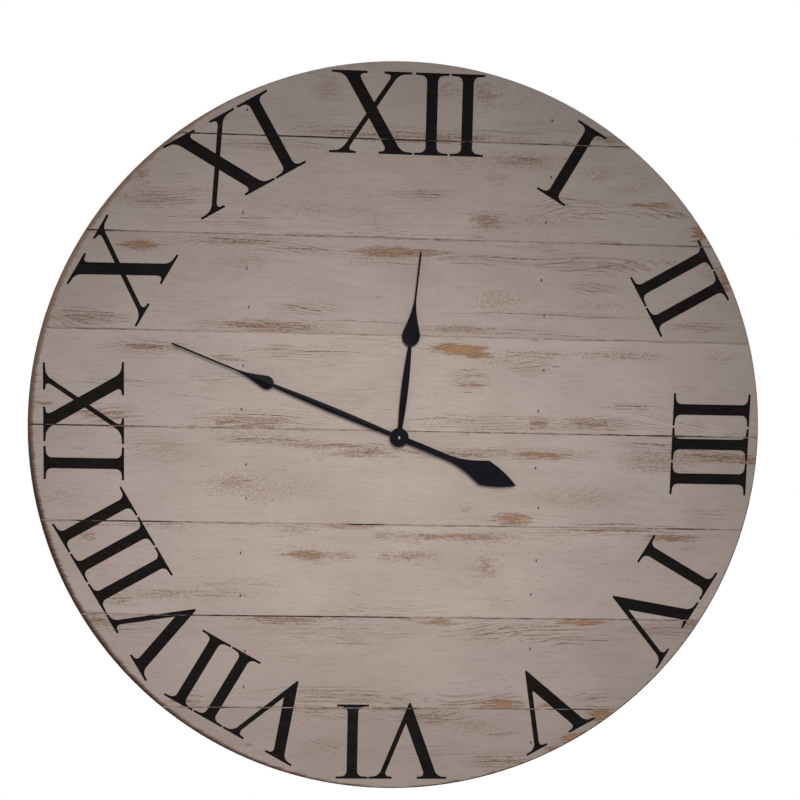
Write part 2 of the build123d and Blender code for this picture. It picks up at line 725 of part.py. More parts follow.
save("rubber_washer", washer(rubber_diameter, case_front, board_back))
save("flat_washer", washer(washer_diameter, board_face, washer_front))
bushing_bore = bushing_diameter + 2 * thread_clearance
save("hex_nut", hexagon_nut(nut_across_flats, washer_front, nut_height, bushing_bore))
shaft_bore = minute_shaft_diameter + 2 * thread_clearance
save("minute_nut", hexagon_nut(minute_nut_across_flats, minute_hand_top, minute_nut_height, shaft_bore))


def spade_outline(hub_diameter, stem_half, neck_at, bulb_at, bulb_half, needle_at, length):
    """Outline of a spade hand along X: swelling stem, round-backed bulb, hollow taper and a long needle."""
    root = (hub_diameter / 3, stem_root_half)
    belly = (neck_at / 2, stem_half)
    neck = (neck_at, stem_neck_half)
    shoulder = (neck_at + 0.38 * (bulb_at - neck_at), stem_neck_half + 0.76 * (bulb_half - stem_neck_half))
    wide = (bulb_at, bulb_half)
    taper = needle_at - bulb_at
    hollow = [(bulb_at + 0.13 * taper, bulb_half), (bulb_at + 0.5 * taper, 1.5 * needle_half)]
    needle = (needle_at, needle_half)
    side = [ThreePointArc(root, belly, neck),
            ThreePointArc(neck, shoulder, wide),
            Bezier(wide, *hollow, needle),
            Line(needle, (length, needle_half))]
    other = [mirror(edge, Plane.XZ) for edge in side]
    ends = [Line((length, needle_half), (length, -needle_half)), Line(root, (root[0], -root[1]))]
    return make_face(side + other + ends)


def spade_blade(outline, length, half_width, top):
    """Blade of a stamped hand: sheet folded along its middle, so that a ridge faces the viewer."""
    drop = fold_slope * half_width
    section = Polyline((0, top), (half_width, top - drop), (half_width, top - drop - sheet_thickness),
                       (0, top - sheet_thickness), (-half_width, top - drop - sheet_thickness),
                       (-half_width, top - drop), close=True)
    fold = extrude(make_face(Plane.YZ * section), length, dir=(1, 0, 0))
    depth = drop + sheet_thickness
    return fold & (Pos(0, 0, top - depth) * extrude(outline, depth))


# Hour hand, pushed on the hour tube by its collet
hour_outline = spade_outline(hour_hub_diameter, hour_stem_half, hour_neck_at, hour_bulb_at, hour_bulb_half,
                             hour_needle_at, hour_length)
hour_hand = spade_blade(hour_outline, hour_length, hour_bulb_half, hour_hand_top)
hour_hand += disc(hour_hub_diameter, hour_hand_back, hour_hand_top)
hour_hand += disc(collet_diameter, hour_hand_back - collet_height, hour_hand_back)
hour_hand -= disc(hour_tube_diameter + 2 * hand_fit, hour_hand_back - collet_height, hour_hand_top)
save("hour_hand", Rot(0, 0, 90 - hour_angle) * hour_hand)

# Minute hand with its leaf-shaped counterweight, on the flats of the minute shaft
minute_outline = spade_outline(minute_hub_diameter, minute_stem_half, minute_neck_at, minute_bulb_at,
                               minute_bulb_half, minute_needle_at, minute_length)
flare = (-tail_flare_at, tail_neck_half)
flare_pull = (-0.55 * tail_flare_at - 0.45 * tail_wide_at, tail_neck_half)
wide_pull = (-0.32 * tail_flare_at - 0.68 * tail_wide_at, (tail_neck_half + tail_half) / 2)
wide = (-tail_wide_at, tail_half)
leaf_side = (-0.45 * tail_wide_at - 0.55 * tail_length, 0.58 * tail_half)
tail_side = [Line((0, tail_neck_half), flare),
             Bezier(flare, flare_pull, wide_pull, wide),
             ThreePointArc(wide, leaf_side, (-tail_length, 0))]
tail_other = [mirror(edge, Plane.XZ) for edge in tail_side]
tail = make_face(tail_side + tail_other + [Line((0, tail_neck_half), (0, -tail_neck_half))])
minute_hand = spade_blade(minute_outline, minute_length, minute_bulb_half, minute_hand_top)
minute_hand += disc(minute_hub_diameter, minute_hand_back, minute_hand_top)
minute_hand += Pos(0, 0, minute_hand_back) * extrude(tail, sheet_thickness)
minute_hand = Rot(0, 0, 90 - minute_angle) * minute_hand
hand_hole = disc(minute_shaft_diameter + 2 * hand_fit, minute_hand_back, minute_hand_top)
flats_half = minute_shaft_flats / 2 + hand_fit
hand_hole &= block(-flats_half, flats_half, -minute_shaft_diameter, minute_shaft_diameter,
                   minute_hand_back, minute_hand_top)
save("minute_hand", minute_hand - hand_hole)
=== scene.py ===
import math

import bpy
from mathutils import Matrix, Vector


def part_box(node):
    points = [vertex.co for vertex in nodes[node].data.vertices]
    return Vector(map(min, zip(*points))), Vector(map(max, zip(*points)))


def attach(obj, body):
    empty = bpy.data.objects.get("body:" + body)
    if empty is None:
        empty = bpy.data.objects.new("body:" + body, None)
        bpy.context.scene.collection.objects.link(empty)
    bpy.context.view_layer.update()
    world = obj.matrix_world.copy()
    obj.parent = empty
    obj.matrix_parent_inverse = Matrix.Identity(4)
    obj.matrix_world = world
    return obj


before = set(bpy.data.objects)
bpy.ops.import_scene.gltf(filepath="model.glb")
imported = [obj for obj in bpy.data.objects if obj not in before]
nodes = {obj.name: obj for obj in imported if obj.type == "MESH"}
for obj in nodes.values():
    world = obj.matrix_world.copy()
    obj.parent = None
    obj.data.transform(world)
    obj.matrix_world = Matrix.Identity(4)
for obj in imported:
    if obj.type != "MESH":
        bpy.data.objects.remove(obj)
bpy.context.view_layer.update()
scene = bpy.context.scene

# Boards: eight pine boards, planed to one thickness, butted edge to edge and sawn to one circle.
# Their faces are brushed with thin whitewash and sanded back, so that brown wood shows in streaks, in the
# saw marks, along the edges and round the rim. Their backs and the sawn rim are left raw.
mm = 0.001
board_count = 8
face_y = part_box("board_4")[0].y
dial_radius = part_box("board_5")[1].x


def shade(red, green, blue):
    """Swatch colour, 0 to 255, as the linear colour that a shader takes."""
    def linear(level):
        level /= 255
        return level / 12.92 if level <= 0.04045 else ((level + 0.055) / 1.055) ** 2.4
    return (linear(red), linear(green), linear(blue), 1.0)


def feed(socket, value):
    """Links a socket to another node's output, or sets it."""
    if isinstance(value, bpy.types.NodeSocket):
        socket.id_data.links.new(value, socket)
    else:
        socket.default_value = value


def put(kind, inputs, tree=None, **settings):
    """Adds a node with its settings and inputs, in the tree that its inputs come from if none is given."""
    if tree is None:
        tree = next(value.id_data for value in inputs.values() if isinstance(value, bpy.types.NodeSocket))
    node = tree.nodes.new("ShaderNode" + kind)
    for name, value in settings.items():
        setattr(node, name, value)
    for key, value in inputs.items():
        feed(node.inputs[key], value)
    return node


def calc(operation, *values):
    """Result of one sum."""
    return put("Math", dict(enumerate(values)), operation=operation).outputs[0]


def vector(operation, *values):
    """Result of one vector sum."""
    return put("VectorMath", dict(enumerate(values)), operation=operation).outputs[0]


def length(place):
    """Distance of a place from the origin."""
    return put("VectorMath", {0: place}, operation="LENGTH").outputs["Value"]


def split(place):
    """The three coordinates of a place."""
    return put("SeparateXYZ", {0: place}).outputs


def rise(value, low, high, most=1.0, least=0.0):
    """Least up to low, most from high on, and smooth between. With low above high it falls instead."""
    inputs = {"Value": value, "From Min": low, "From Max": high, "To Min": least, "To Max": most}
    return put("MapRange", inputs, interpolation_type="SMOOTHSTEP").outputs[0]


def noise(place, per_metre, detail=2.0, roughness=0.5, output="Fac"):
    """Cloudy pattern with so many clouds to the metre along each axis."""
    stretched = vector("MULTIPLY", place, per_metre)
    inputs = {"Vector": stretched, "Scale": 1.0, "Detail": detail, "Roughness": roughness}
    return put("TexNoise", inputs).outputs[output]


def sway(pattern, width):
    """A cloudy pattern as a sway of this width, half to either side."""
    return calc("MULTIPLY_ADD", pattern, width, -width / 2)


def tint(share, under, over):
    """One colour laid over another."""
    return put("Mix", {0: share, 6: under, 7: over}, data_type="RGBA").outputs[2]


def shared_effect(name, inputs, outputs):
    """Empty node group with named sockets, and its two end nodes."""
    group = bpy.data.node_groups.new(name, "ShaderNodeTree")
    for socket, kind in inputs.items():
        group.interface.new_socket(socket, in_out="INPUT", socket_type="NodeSocket" + kind)
    for socket, kind in outputs.items():
        group.interface.new_socket(socket, in_out="OUTPUT", socket_type="NodeSocket" + kind)
    return group, group.nodes.new("NodeGroupInput").outputs, group.nodes.new("NodeGroupOutput").inputs


def use(group, inputs):
    """Places a node group in a material and returns its outputs."""
    return put("Group", inputs, node_tree=group).outputs


def new_material(name):
    """Material with a bare Principled shader; returns it, the shader and the object coordinates."""
    material = bpy.data.materials.new(name)
    material.use_nodes = True
    tree = material.node_tree
    return material, tree.nodes["Principled BSDF"], put("TexCoord", {}, tree).outputs["Object"]


def finish_surface(shader, color, roughness, height, depth, specular=0.5):
    """Feeds colour, roughness and a relief of this depth in metres to the shader, and sets its shine."""
    feed(shader.inputs["Base Color"], color)
    feed(shader.inputs["Roughness"], roughness)
    shader.inputs["Specular IOR Level"].default_value = specular
    bump = put("Bump", {"Height": height, "Distance": depth, "Strength": 1.0})
    feed(shader.inputs["Normal"], bump.outputs[0])


def dress(material, *names):
    """Gives CAD solids their material."""
    for name in names:
        nodes[name].material_slots[0].material = material


# Raw pine with its grain along the first axis of Place: growth rings that part round a few knots, and fibres
rings_up, rings_in = 120.0, 60.0
ring_wander, knot_bend = 15.0, 4.0
dark_pine, pale_pine = shade(204, 170, 124), shade(226, 197, 154)
late_color, fibre_color = shade(176, 128, 80), shade(164, 124, 84)
knot_ring, knot_heart = shade(140, 92, 56), shade(92, 58, 36)
surface_outputs = {"Color": "Color", "Roughness": "Float", "Height": "Float"}
pine, given, result = shared_effect("raw_pine", {"Place": "Vector"}, surface_outputs)
place = given["Place"]
across = split(place)
wander = noise(place, (2.2, 9, 9))
knot_place = vector("MULTIPLY", place, (4.6, 6.5, 6.5))
knots = put("TexVoronoi", {"Vector": knot_place, "Scale": 1.0, "Randomness": 0.9})
knot_far = knots.outputs["Distance"]
ring_phase = calc("MULTIPLY_ADD", across[2], rings_up, calc("MULTIPLY", wander, ring_wander))
ring_phase = calc("ADD", rise(knot_far, 0.34, 0.05, most=knot_bend), ring_phase)
ring_phase = calc("MULTIPLY_ADD", across[1], rings_in, ring_phase)
ring = calc("FRACT", ring_phase)
late_wood = calc("MULTIPLY", rise(ring, 0.30, 0.95), rise(ring, 1.0, 0.95))
fibre = noise(place, (18, 900, 900), 3, 0.6)
blotch = noise(place, (3, 12, 12), 4)
ring_strength = calc("MULTIPLY", late_wood, calc("MULTIPLY_ADD", blotch, 0.9, -0.05))
color = tint(rise(blotch, 0.30, 0.70), dark_pine, pale_pine)
color = tint(ring_strength, color, late_color)
color = tint(rise(fibre, 0.52, 0.72, most=0.28), color, fibre_color)
color = tint(rise(knot_far, 0.15, 0.07, most=0.45), color, knot_ring)
color = tint(rise(knot_far, 0.085, 0.045, most=0.85), color, knot_heart)
feed(result["Color"], color)
feed(result["Roughness"], calc("MULTIPLY_ADD", late_wood, -0.12, 0.78))
feed(result["Height"], calc("MULTIPLY_ADD", fibre, 0.7, calc("MULTIPLY", late_wood, 0.3)))

# Whitewash over pine. Rubbed, Stippled, Lined and Streaked say how far it is worn through, each in its own
# way, and the edges are the heights of the board's two long edges.
amounts = ("Rubbed", "Stippled", "Lined", "Streaked", "Top Edge", "Bottom Edge", "Thin Wash")
wash_inputs = {**dict.fromkeys(amounts, "Float"), "Shift": "Vector"}
wash, given, result = shared_effect("rubbed_whitewash", wash_inputs, surface_outputs)
here = put("TexCoord", {}, wash).outputs["Object"]
place = vector("ADD", here, given["Shift"])
at = split(here)

# The wash itself, brushed along the board over the fine tooth of the wood
dull_wash, bright_wash = shade(179, 164, 156), shade(190, 175, 167)
brush_hollow, brush_ridge = shade(157, 139, 129), shade(200, 187, 178)
tooth_color, thin_color = shade(140, 122, 112), shade(104, 88, 79)
mottle = noise(place, (8, 8, 15), 5, 0.6)
brush = noise(place, (16, 16, 560), 4, 0.68)
tooth = noise(place, (340, 340, 700))
color = tint(rise(mottle, 0.30, 0.70), dull_wash, bright_wash)
color = tint(rise(brush, 0.52, 0.74, most=0.24), color, brush_hollow)
color = tint(rise(brush, 0.46, 0.30, most=0.25), color, brush_ridge)
color = tint(rise(tooth, 0.53, 0.72, most=0.20), color, tooth_color)
color = tint(given["Thin Wash"], color, thin_color)

# Grain that shows through: coarse and fine lines of the growth rings, and long streaks
rings_per_metre, ring_bend = 235.0, 26.0
fine_per_metre, fine_bend = 450.0, 50.0
edge_grain = (34 * mm, 6 * mm)
grain_color, fine_color, streak_color = shade(104, 78, 63), shade(124, 99, 84), shade(100, 76, 60)
broken = noise(place, (40, 40, 420), 3, 0.65)
fleck = noise(place, (240, 240, 480), 3, 0.65)
speck = rise(fleck, 0.40, 0.56, most=1.0, least=0.25)
bend = noise(place, (3, 3, 11), 1.5)
from_edge = calc("MINIMUM", calc("SUBTRACT", given["Top Edge"], at[2]),
                 calc("SUBTRACT", at[2], given["Bottom Edge"]))
grain_patch = rise(noise(place, (4.6, 4.6, 17), 3), 0.46, 0.72)
grain_patch = calc("MULTIPLY", grain_patch, rise(from_edge, *edge_grain, most=0.48, least=0.20))
lined = calc("MAXIMUM", given["Lined"], grain_patch)
line_gap = noise(place, (15, 15, 240), 3, 0.62)
line_break = rise(calc("MULTIPLY_ADD", lined, 0.24, line_gap), 0.54, 0.70)
line_break = calc("MULTIPLY", line_break, rise(lined, 0.0, 0.5))
ring_phase = calc("MULTIPLY_ADD", at[2], rings_per_metre, calc("MULTIPLY", bend, ring_bend))
grain_line = rise(calc("PINGPONG", ring_phase, 0.5), 0.13, 0.03, most=0.84)
grain_line = calc("MULTIPLY", calc("MULTIPLY", grain_line, line_break), speck)
color = tint(grain_line, color, grain_color)
fine_phase = calc("MULTIPLY_ADD", at[2], fine_per_metre, calc("MULTIPLY", bend, fine_bend))
fine_line = rise(calc("PINGPONG", fine_phase, 0.5), 0.26, 0.08)
fine_break = rise(calc("MULTIPLY_ADD", lined, 0.20, broken), 0.52, 0.70, most=0.42)
color = tint(calc("MULTIPLY", fine_line, fine_break), color, fine_color)
streak_break = rise(calc("MULTIPLY_ADD", given["Streaked"], 0.20, broken), 0.50, 0.66)
streak_line = calc("MULTIPLY", calc("MULTIPLY", given["Streaked"], streak_break), speck)
color = tint(streak_line, color, streak_color)

# Saw marks: short slanting flecks
saw_angle = 0.5
saw_color = shade(132, 101, 80)
saw_turn = put("VectorRotate", {"Vector": place, "Angle": saw_angle}, rotation_type="Y_AXIS")
saw = noise(saw_turn.outputs[0], (380, 380, 860), 3, 0.7)
saw_patch = rise(noise(place, (6, 6, 15), 3), 0.57, 0.74, most=0.24)
stippled = calc("MAXIMUM", given["Stippled"], saw_patch)
saw_mark = rise(calc("MULTIPLY_ADD", stippled, 0.17, saw), 0.62, 0.72, most=0.56)
saw_mark = calc("MULTIPLY", saw_mark, rise(stippled, 0.0, 0.35))
color = tint(saw_mark, color, saw_color)

# Wood rubbed bare, in spots and along the edges, with some wash left between its fibres
edge_rub_reach = (8.0 * mm, 0.5 * mm)
dark_wood, bright_wood = shade(123, 92, 71), shade(158, 115, 78)
wood_grain, pale_fibre = shade(116, 87, 68), shade(172, 143, 115)
along_edge = noise(place, (9, 9, 60), 3, 0.6)
edge_rub = calc("MULTIPLY", rise(from_edge, *edge_rub_reach, most=0.60), rise(along_edge, 0.46, 0.70))
rubbed = calc("MAXIMUM", given["Rubbed"], edge_rub)
fibre = noise(place, (44, 44, 560), 5, 0.74)
worn_fibre = calc("MULTIPLY_ADD", fibre, 1.5, calc("MULTIPLY", fleck, 0.9))
bare = rise(calc("ADD", worn_fibre, rubbed), 1.42, 1.98)
bare = calc("MULTIPLY", bare, rise(rubbed, 0.02, 0.25))
wood = tint(rise(rubbed, 0.45, 0.95), dark_wood, bright_wood)
wood = tint(rise(broken, 0.50, 0.68, most=0.5), wood, wood_grain)
wood = tint(rise(fibre, 0.48, 0.34, most=0.5), wood, pale_fibre)
color = tint(calc("MULTIPLY", bare, 0.92), color, wood)

# The arrises along the joints, sanded unevenly, with painted shade that darkens the face along the joints
seam_sway = 5.0 * mm
seam_wear_and_shade_band = (1.2 * mm, 0.6 * mm)
pale_seam, shaded_dark_seam = shade(168, 152, 143), shade(126, 103, 89)
seam_tone = noise(place, (5.5, 5.5, 1), 3, 0.6)
seam_wood_and_shade = tint(rise(seam_tone, 0.40, 0.64), pale_seam, shaded_dark_seam)
ragged_edge = calc("ADD", from_edge, sway(broken, -seam_sway))
color = tint(rise(ragged_edge, *seam_wear_and_shade_band), color, seam_wood_and_shade)

# The rim, sanded down to brown wood: widest at the left and narrow at the top, with painted shade that makes
# it darker low down and darkest along its outer edge
rim_sway, rim_least = 8.0 * mm, 0.4 * mm
rim_below, rim_spread, rim_left, rim_top = 2.4 * mm, 2.4 * mm, 7.0 * mm, -3.0 * mm
rim_shade_heights = (-100 * mm, 220 * mm)
shaded_low_rim, lit_high_rim = shade(122, 95, 83), shade(151, 125, 106)
shaded_low_outer, lit_high_outer = shade(54, 40, 35), shade(140, 115, 99)
from_hub = length(put("CombineXYZ", {0: at[0], 2: at[2]}).outputs[0])
leftward = calc("MAXIMUM", calc("DIVIDE", at[0], calc("MULTIPLY", from_hub, -1.0)), 0.0)
upward = calc("DIVIDE", at[2], from_hub)
downward = calc("MAXIMUM", calc("MULTIPLY", upward, -1.0), 0.0)
rim_width = sway(broken, rim_sway)
for share, width in ((downward, rim_below), (along_edge, rim_spread), (leftward, rim_left),
                     (rise(upward, 0.80, 0.95), rim_top)):
    rim_width = calc("MULTIPLY_ADD", share, width, rim_width)
rim_width = calc("MAXIMUM", rim_width, rim_least)
rim_share = calc("DIVIDE", calc("SUBTRACT", dial_radius, from_hub), rim_width)
# Painted shade: the rim's brown is darker towards the bottom and darkest along its very outer edge
rim_lit_share = rise(at[2], *rim_shade_heights)
outer_edge_shade = tint(rim_lit_share, shaded_low_outer, lit_high_outer)
rim_wood_and_shade = tint(rim_lit_share, shaded_low_rim, lit_high_rim)
rim_wood_and_shade = tint(rise(rim_share, 0.80, 0.42), rim_wood_and_shade, outer_edge_shade)
color = tint(rise(rim_share, 1.15, 0.75), color, rim_wood_and_shade)

feed(result["Color"], color)
feed(result["Roughness"], calc("MULTIPLY_ADD", bare, -0.12, 0.80))
feed(result["Height"], calc("MULTIPLY_ADD", brush, 0.6, calc("MULTIPLY", tooth, 0.4)))

# One long line of grain, in a place that runs from -1 to 1 along it and counts mm across it. Bow lifts its
# middle, and Wander makes it waver.
stroke, given, result = shared_effect("grain_stroke", {"Place": "Vector", "Bow": "Float", "Wander": "Float"},
                                      {"Amount": "Float"})
at = split(given["Place"])
off = calc("MULTIPLY_ADD", calc("MULTIPLY", at[0], at[0]), given["Bow"], at[2])
off = calc("ADD", calc("SUBTRACT", off, given["Bow"]), given["Wander"])
fade = rise(calc("ABSOLUTE", at[0]), 1.0, 0.55)
line = rise(calc("ABSOLUTE", off), 0.85, 0.25)
feed(result["Amount"], calc("MULTIPLY", line, fade))

# How thin the wash lies on each board, so that the wood darkens it
thin_wash = {1: 0.13, 2: 0.12, 3: 0.15, 4: 0.01, 5: 0.1, 6: 0.08, 7: 0.19, 8: 0.3}

# How far each board's bare back has browned with age
board_age = {1: 0.1, 2: 0.28, 3: 0.02, 4: 0.2, 5: 0.36, 6: 0.08, 7: 0.24, 8: 0.14}

# Where each board is worn: centre across and up from the hub, half length and half height in mm, and how far
rubbed_spots = {
    1: [(60, 368, 130, 6, 0.55), (250, 371, 40, 7, 0.55), (-60, 368, 90, 5, 0.5), (97, 420, 16, 16, 0.42)],
    2: [(-255, 297, 34, 5, 0.42), (102, 268, 26, 16, 0.58), (308, 293, 34, 5, 0.8), (369, 262, 13, 24, 0.8),
        (145, 342, 50, 10, 0.42), (-320, 318, 16, 34, 0.45)],
    3: [(-318, 228, 36, 9, 0.74), (-15, 227, 66, 10, 0.72), (20, 228, 50, 7, 0.66), (-165, 134, 90, 7, 0.6),
        (-205, 236, 60, 6, 0.5), (404, 208, 15, 28, 0.85), (330, 224, 14, 6, 0.5), (75, 135, 70, 6, 0.52),
        (-388, 138, 46, 9, 0.44), (270, 218, 40, 5, 0.45)],
    4: [(72, 110, 46, 9, 1.05), (100, 104, 26, 6, 0.75), (-310, 105, 48, 6, 0.55), (-216, 93, 24, 7, 0.55),
        (-215, 14, 26, 9, 0.62), (-168, 15, 62, 11, 0.54), (85, 66, 24, 5, 0.66), (87, 77, 22, 3, 0.55),
        (172, 20, 18, 13, 0.56), (-365, 21, 42, 8, 0.46), (-440, 33, 18, 4, 0.6), (240, 20, 36, 8, 0.42)],
    5: [(-180, -8, 64, 5, 0.5), (-100, -13, 70, 5, 0.44), (-42, -20, 50, 10, 0.44), (182, -21, 52, 7, 0.7),
        (95, -22, 66, 5, 0.46), (146, -102, 34, 12, 0.74), (88, -90, 18, 7, 0.5), (395, -19, 66, 9, 0.56),
        (447, -22, 22, 8, 0.8), (-205, -62, 34, 14, 0.38)],
    6: [(-110, -152, 40, 10, 0.7), (-72, -152, 30, 8, 0.5), (-12, -152, 20, 9, 0.45),
        (20, -152, 36, 9, 0.47), (350, -124, 48, 7, 0.72), (-345, -211, 26, 12, 0.48),
        (-60, -114, 60, 5, 0.66), (75, -126, 110, 6, 0.62), (-15, -126, 20, 11, 0.46),
        (115, -163, 20, 22, 0.4), (-285, -203, 34, 9, 0.46), (-382, -131, 18, 9, 0.5),
        (260, -115, 90, 3, 0.6)],
    7: [(238, -235, 46, 5, 0.92), (60, -237, 34, 6, 0.66), (-140, -237, 66, 4, 0.6),
        (142, -343, 32, 9, 0.92), (195, -345, 16, 6, 0.66), (-372, -240, 26, 10, 0.56),
        (385, -236, 18, 5, 0.8), (-262, -343, 22, 7, 0.56)],
    8: [(240, -388, 26, 11, 0.95), (42, -361, 54, 5, 0.5), (140, -419, 42, 7, 0.46),
        (-186, -398, 10, 6, 0.5), (268, -358, 24, 12, 0.85), (215, -402, 22, 6, 0.8)],
}
stippled_spots = {
    1: [(47, 425, 26, 14, 0.8), (97, 420, 24, 22, 0.9), (-98, 424, 19, 22, 0.6)],
    2: [(-118, 277, 53, 13, 0.8), (-40, 275, 48, 12, 0.6), (145, 342, 77, 16, 1.0), (70, 338, 48, 11, 0.6),
        (240, 328, 29, 14, 0.8), (275, 312, 31, 11, 0.7), (102, 268, 38, 22, 0.9), (170, 271, 74, 13, 0.8),
        (-305, 284, 62, 12, 0.8)],
    3: [(-190, 213, 48, 13, 0.8), (-30, 214, 55, 8, 0.7), (376, 217, 22, 14, 0.8), (118, 171, 48, 17, 0.9),
        (256, 169, 31, 10, 0.8), (75, 135, 84, 10, 0.7), (370, 144, 48, 10, 0.7), (402, 210, 31, 31, 0.8)],
    4: [(165, 106, 79, 10, 0.8), (275, 107, 91, 8, 0.9), (406, 107, 31, 10, 0.9), (125, 97, 38, 11, 0.8),
        (160, 88, 29, 11, 0.6), (240, 20, 53, 11, 1.0), (120, 13, 48, 7, 0.8), (-190, 29, 67, 7, 0.5),
        (60, 20, 72, 14, 0.5)],
    5: [(-205, -62, 50, 20, 1.0), (-165, -70, 55, 26, 0.9), (-105, -70, 31, 17, 0.4),
        (230, -74, 84, 20, 0.8), (-292, -20, 60, 20, 0.5), (330, -24, 60, 22, 0.9),
        (-425, -82, 34, 18, 0.6), (-60, -18, 84, 14, 0.8), (-190, 2, 38, 8, 0.8), (150, -17, 120, 10, 0.6)],
    6: [(-110, -152, 55, 16, 0.8), (10, -152, 55, 14, 0.9), (120, -128, 60, 11, 0.9),
        (20, -128, 48, 12, 0.9), (-125, -119, 31, 10, 0.9), (-270, -204, 144, 13, 0.7),
        (115, -165, 29, 31, 0.7), (135, -203, 17, 22, 0.6), (200, -128, 36, 11, 0.5),
        (295, -181, 31, 8, 0.5)],
    7: [(142, -340, 48, 14, 0.6), (-200, -334, 72, 12, 0.4)],
    8: [(102, -373, 36, 13, 1.0), (-130, -372, 72, 17, 0.4)],
}
lined_spots = {
    1: [(0, 374, 212, 10, 0.7), (-93, 420, 25, 21, 0.7)],
    2: [(-170, 352, 88, 10, 0.9), (-305, 285, 75, 16, 0.8), (210, 290, 82, 18, 0.7), (315, 284, 65, 9, 0.7),
        (22, 298, 50, 12, 1.0), (112, 320, 20, 12, 0.9), (-230, 262, 100, 10, 0.6)],
    3: [(-200, 237, 100, 10, 1.0), (-130, 228, 95, 8, 0.9), (115, 222, 105, 9, 1.0),
        (240, 219, 100, 16, 1.0), (-120, 156, 65, 12, 0.9), (-165, 134, 112, 12, 1.0),
        (-385, 140, 65, 17, 1.0), (240, 190, 45, 9, 0.9), (190, 155, 162, 6, 0.9), (375, 145, 55, 9, 0.9),
        (-15, 226, 138, 12, 0.7)],
    4: [(-310, 105, 70, 12, 1.0), (-120, 103, 100, 14, 0.8), (-345, 62, 58, 9, 0.7),
        (-230, 68, 50, 17, 0.5), (-168, 18, 112, 13, 0.8), (160, 88, 32, 13, 0.9), (85, 72, 35, 18, 0.9),
        (290, 42, 55, 9, 1.0), (120, 18, 140, 16, 0.9), (255, 20, 82, 13, 1.0), (-365, 21, 60, 14, 0.9),
        (-60, 50, 75, 18, 0.4)],
    5: [(-160, -8, 100, 9, 0.8), (-60, -17, 112, 14, 0.7), (90, -20, 138, 10, 1.0), (180, -20, 82, 12, 1.0),
        (315, -6, 58, 8, 1.0), (330, -24, 75, 23, 0.9), (400, -18, 88, 13, 1.0), (-292, -20, 70, 26, 0.4),
        (390, -95, 55, 16, 0.5)],
    6: [(-190, -190, 75, 9, 0.6), (-330, -117, 112, 6, 0.6), (200, -119, 200, 6, 0.7),
        (-345, -211, 38, 16, 0.6)],
    7: [(-90, -252, 138, 22, 0.7), (150, -246, 150, 18, 0.6), (225, -256, 125, 12, 0.6),
        (350, -244, 78, 12, 1.0), (-70, -335, 125, 18, 0.9), (100, -339, 88, 13, 0.9),
        (262, -335, 55, 10, 0.9), (-345, -245, 62, 17, 0.9), (-255, -337, 18, 14, 1.0)],
    8: [(42, -362, 75, 13, 1.0), (-85, -358, 62, 13, 0.8), (-85, -400, 42, 16, 0.7),
        (135, -419, 65, 18, 1.0), (140, -383, 32, 8, 1.0), (40, -408, 100, 16, 0.5)],
}

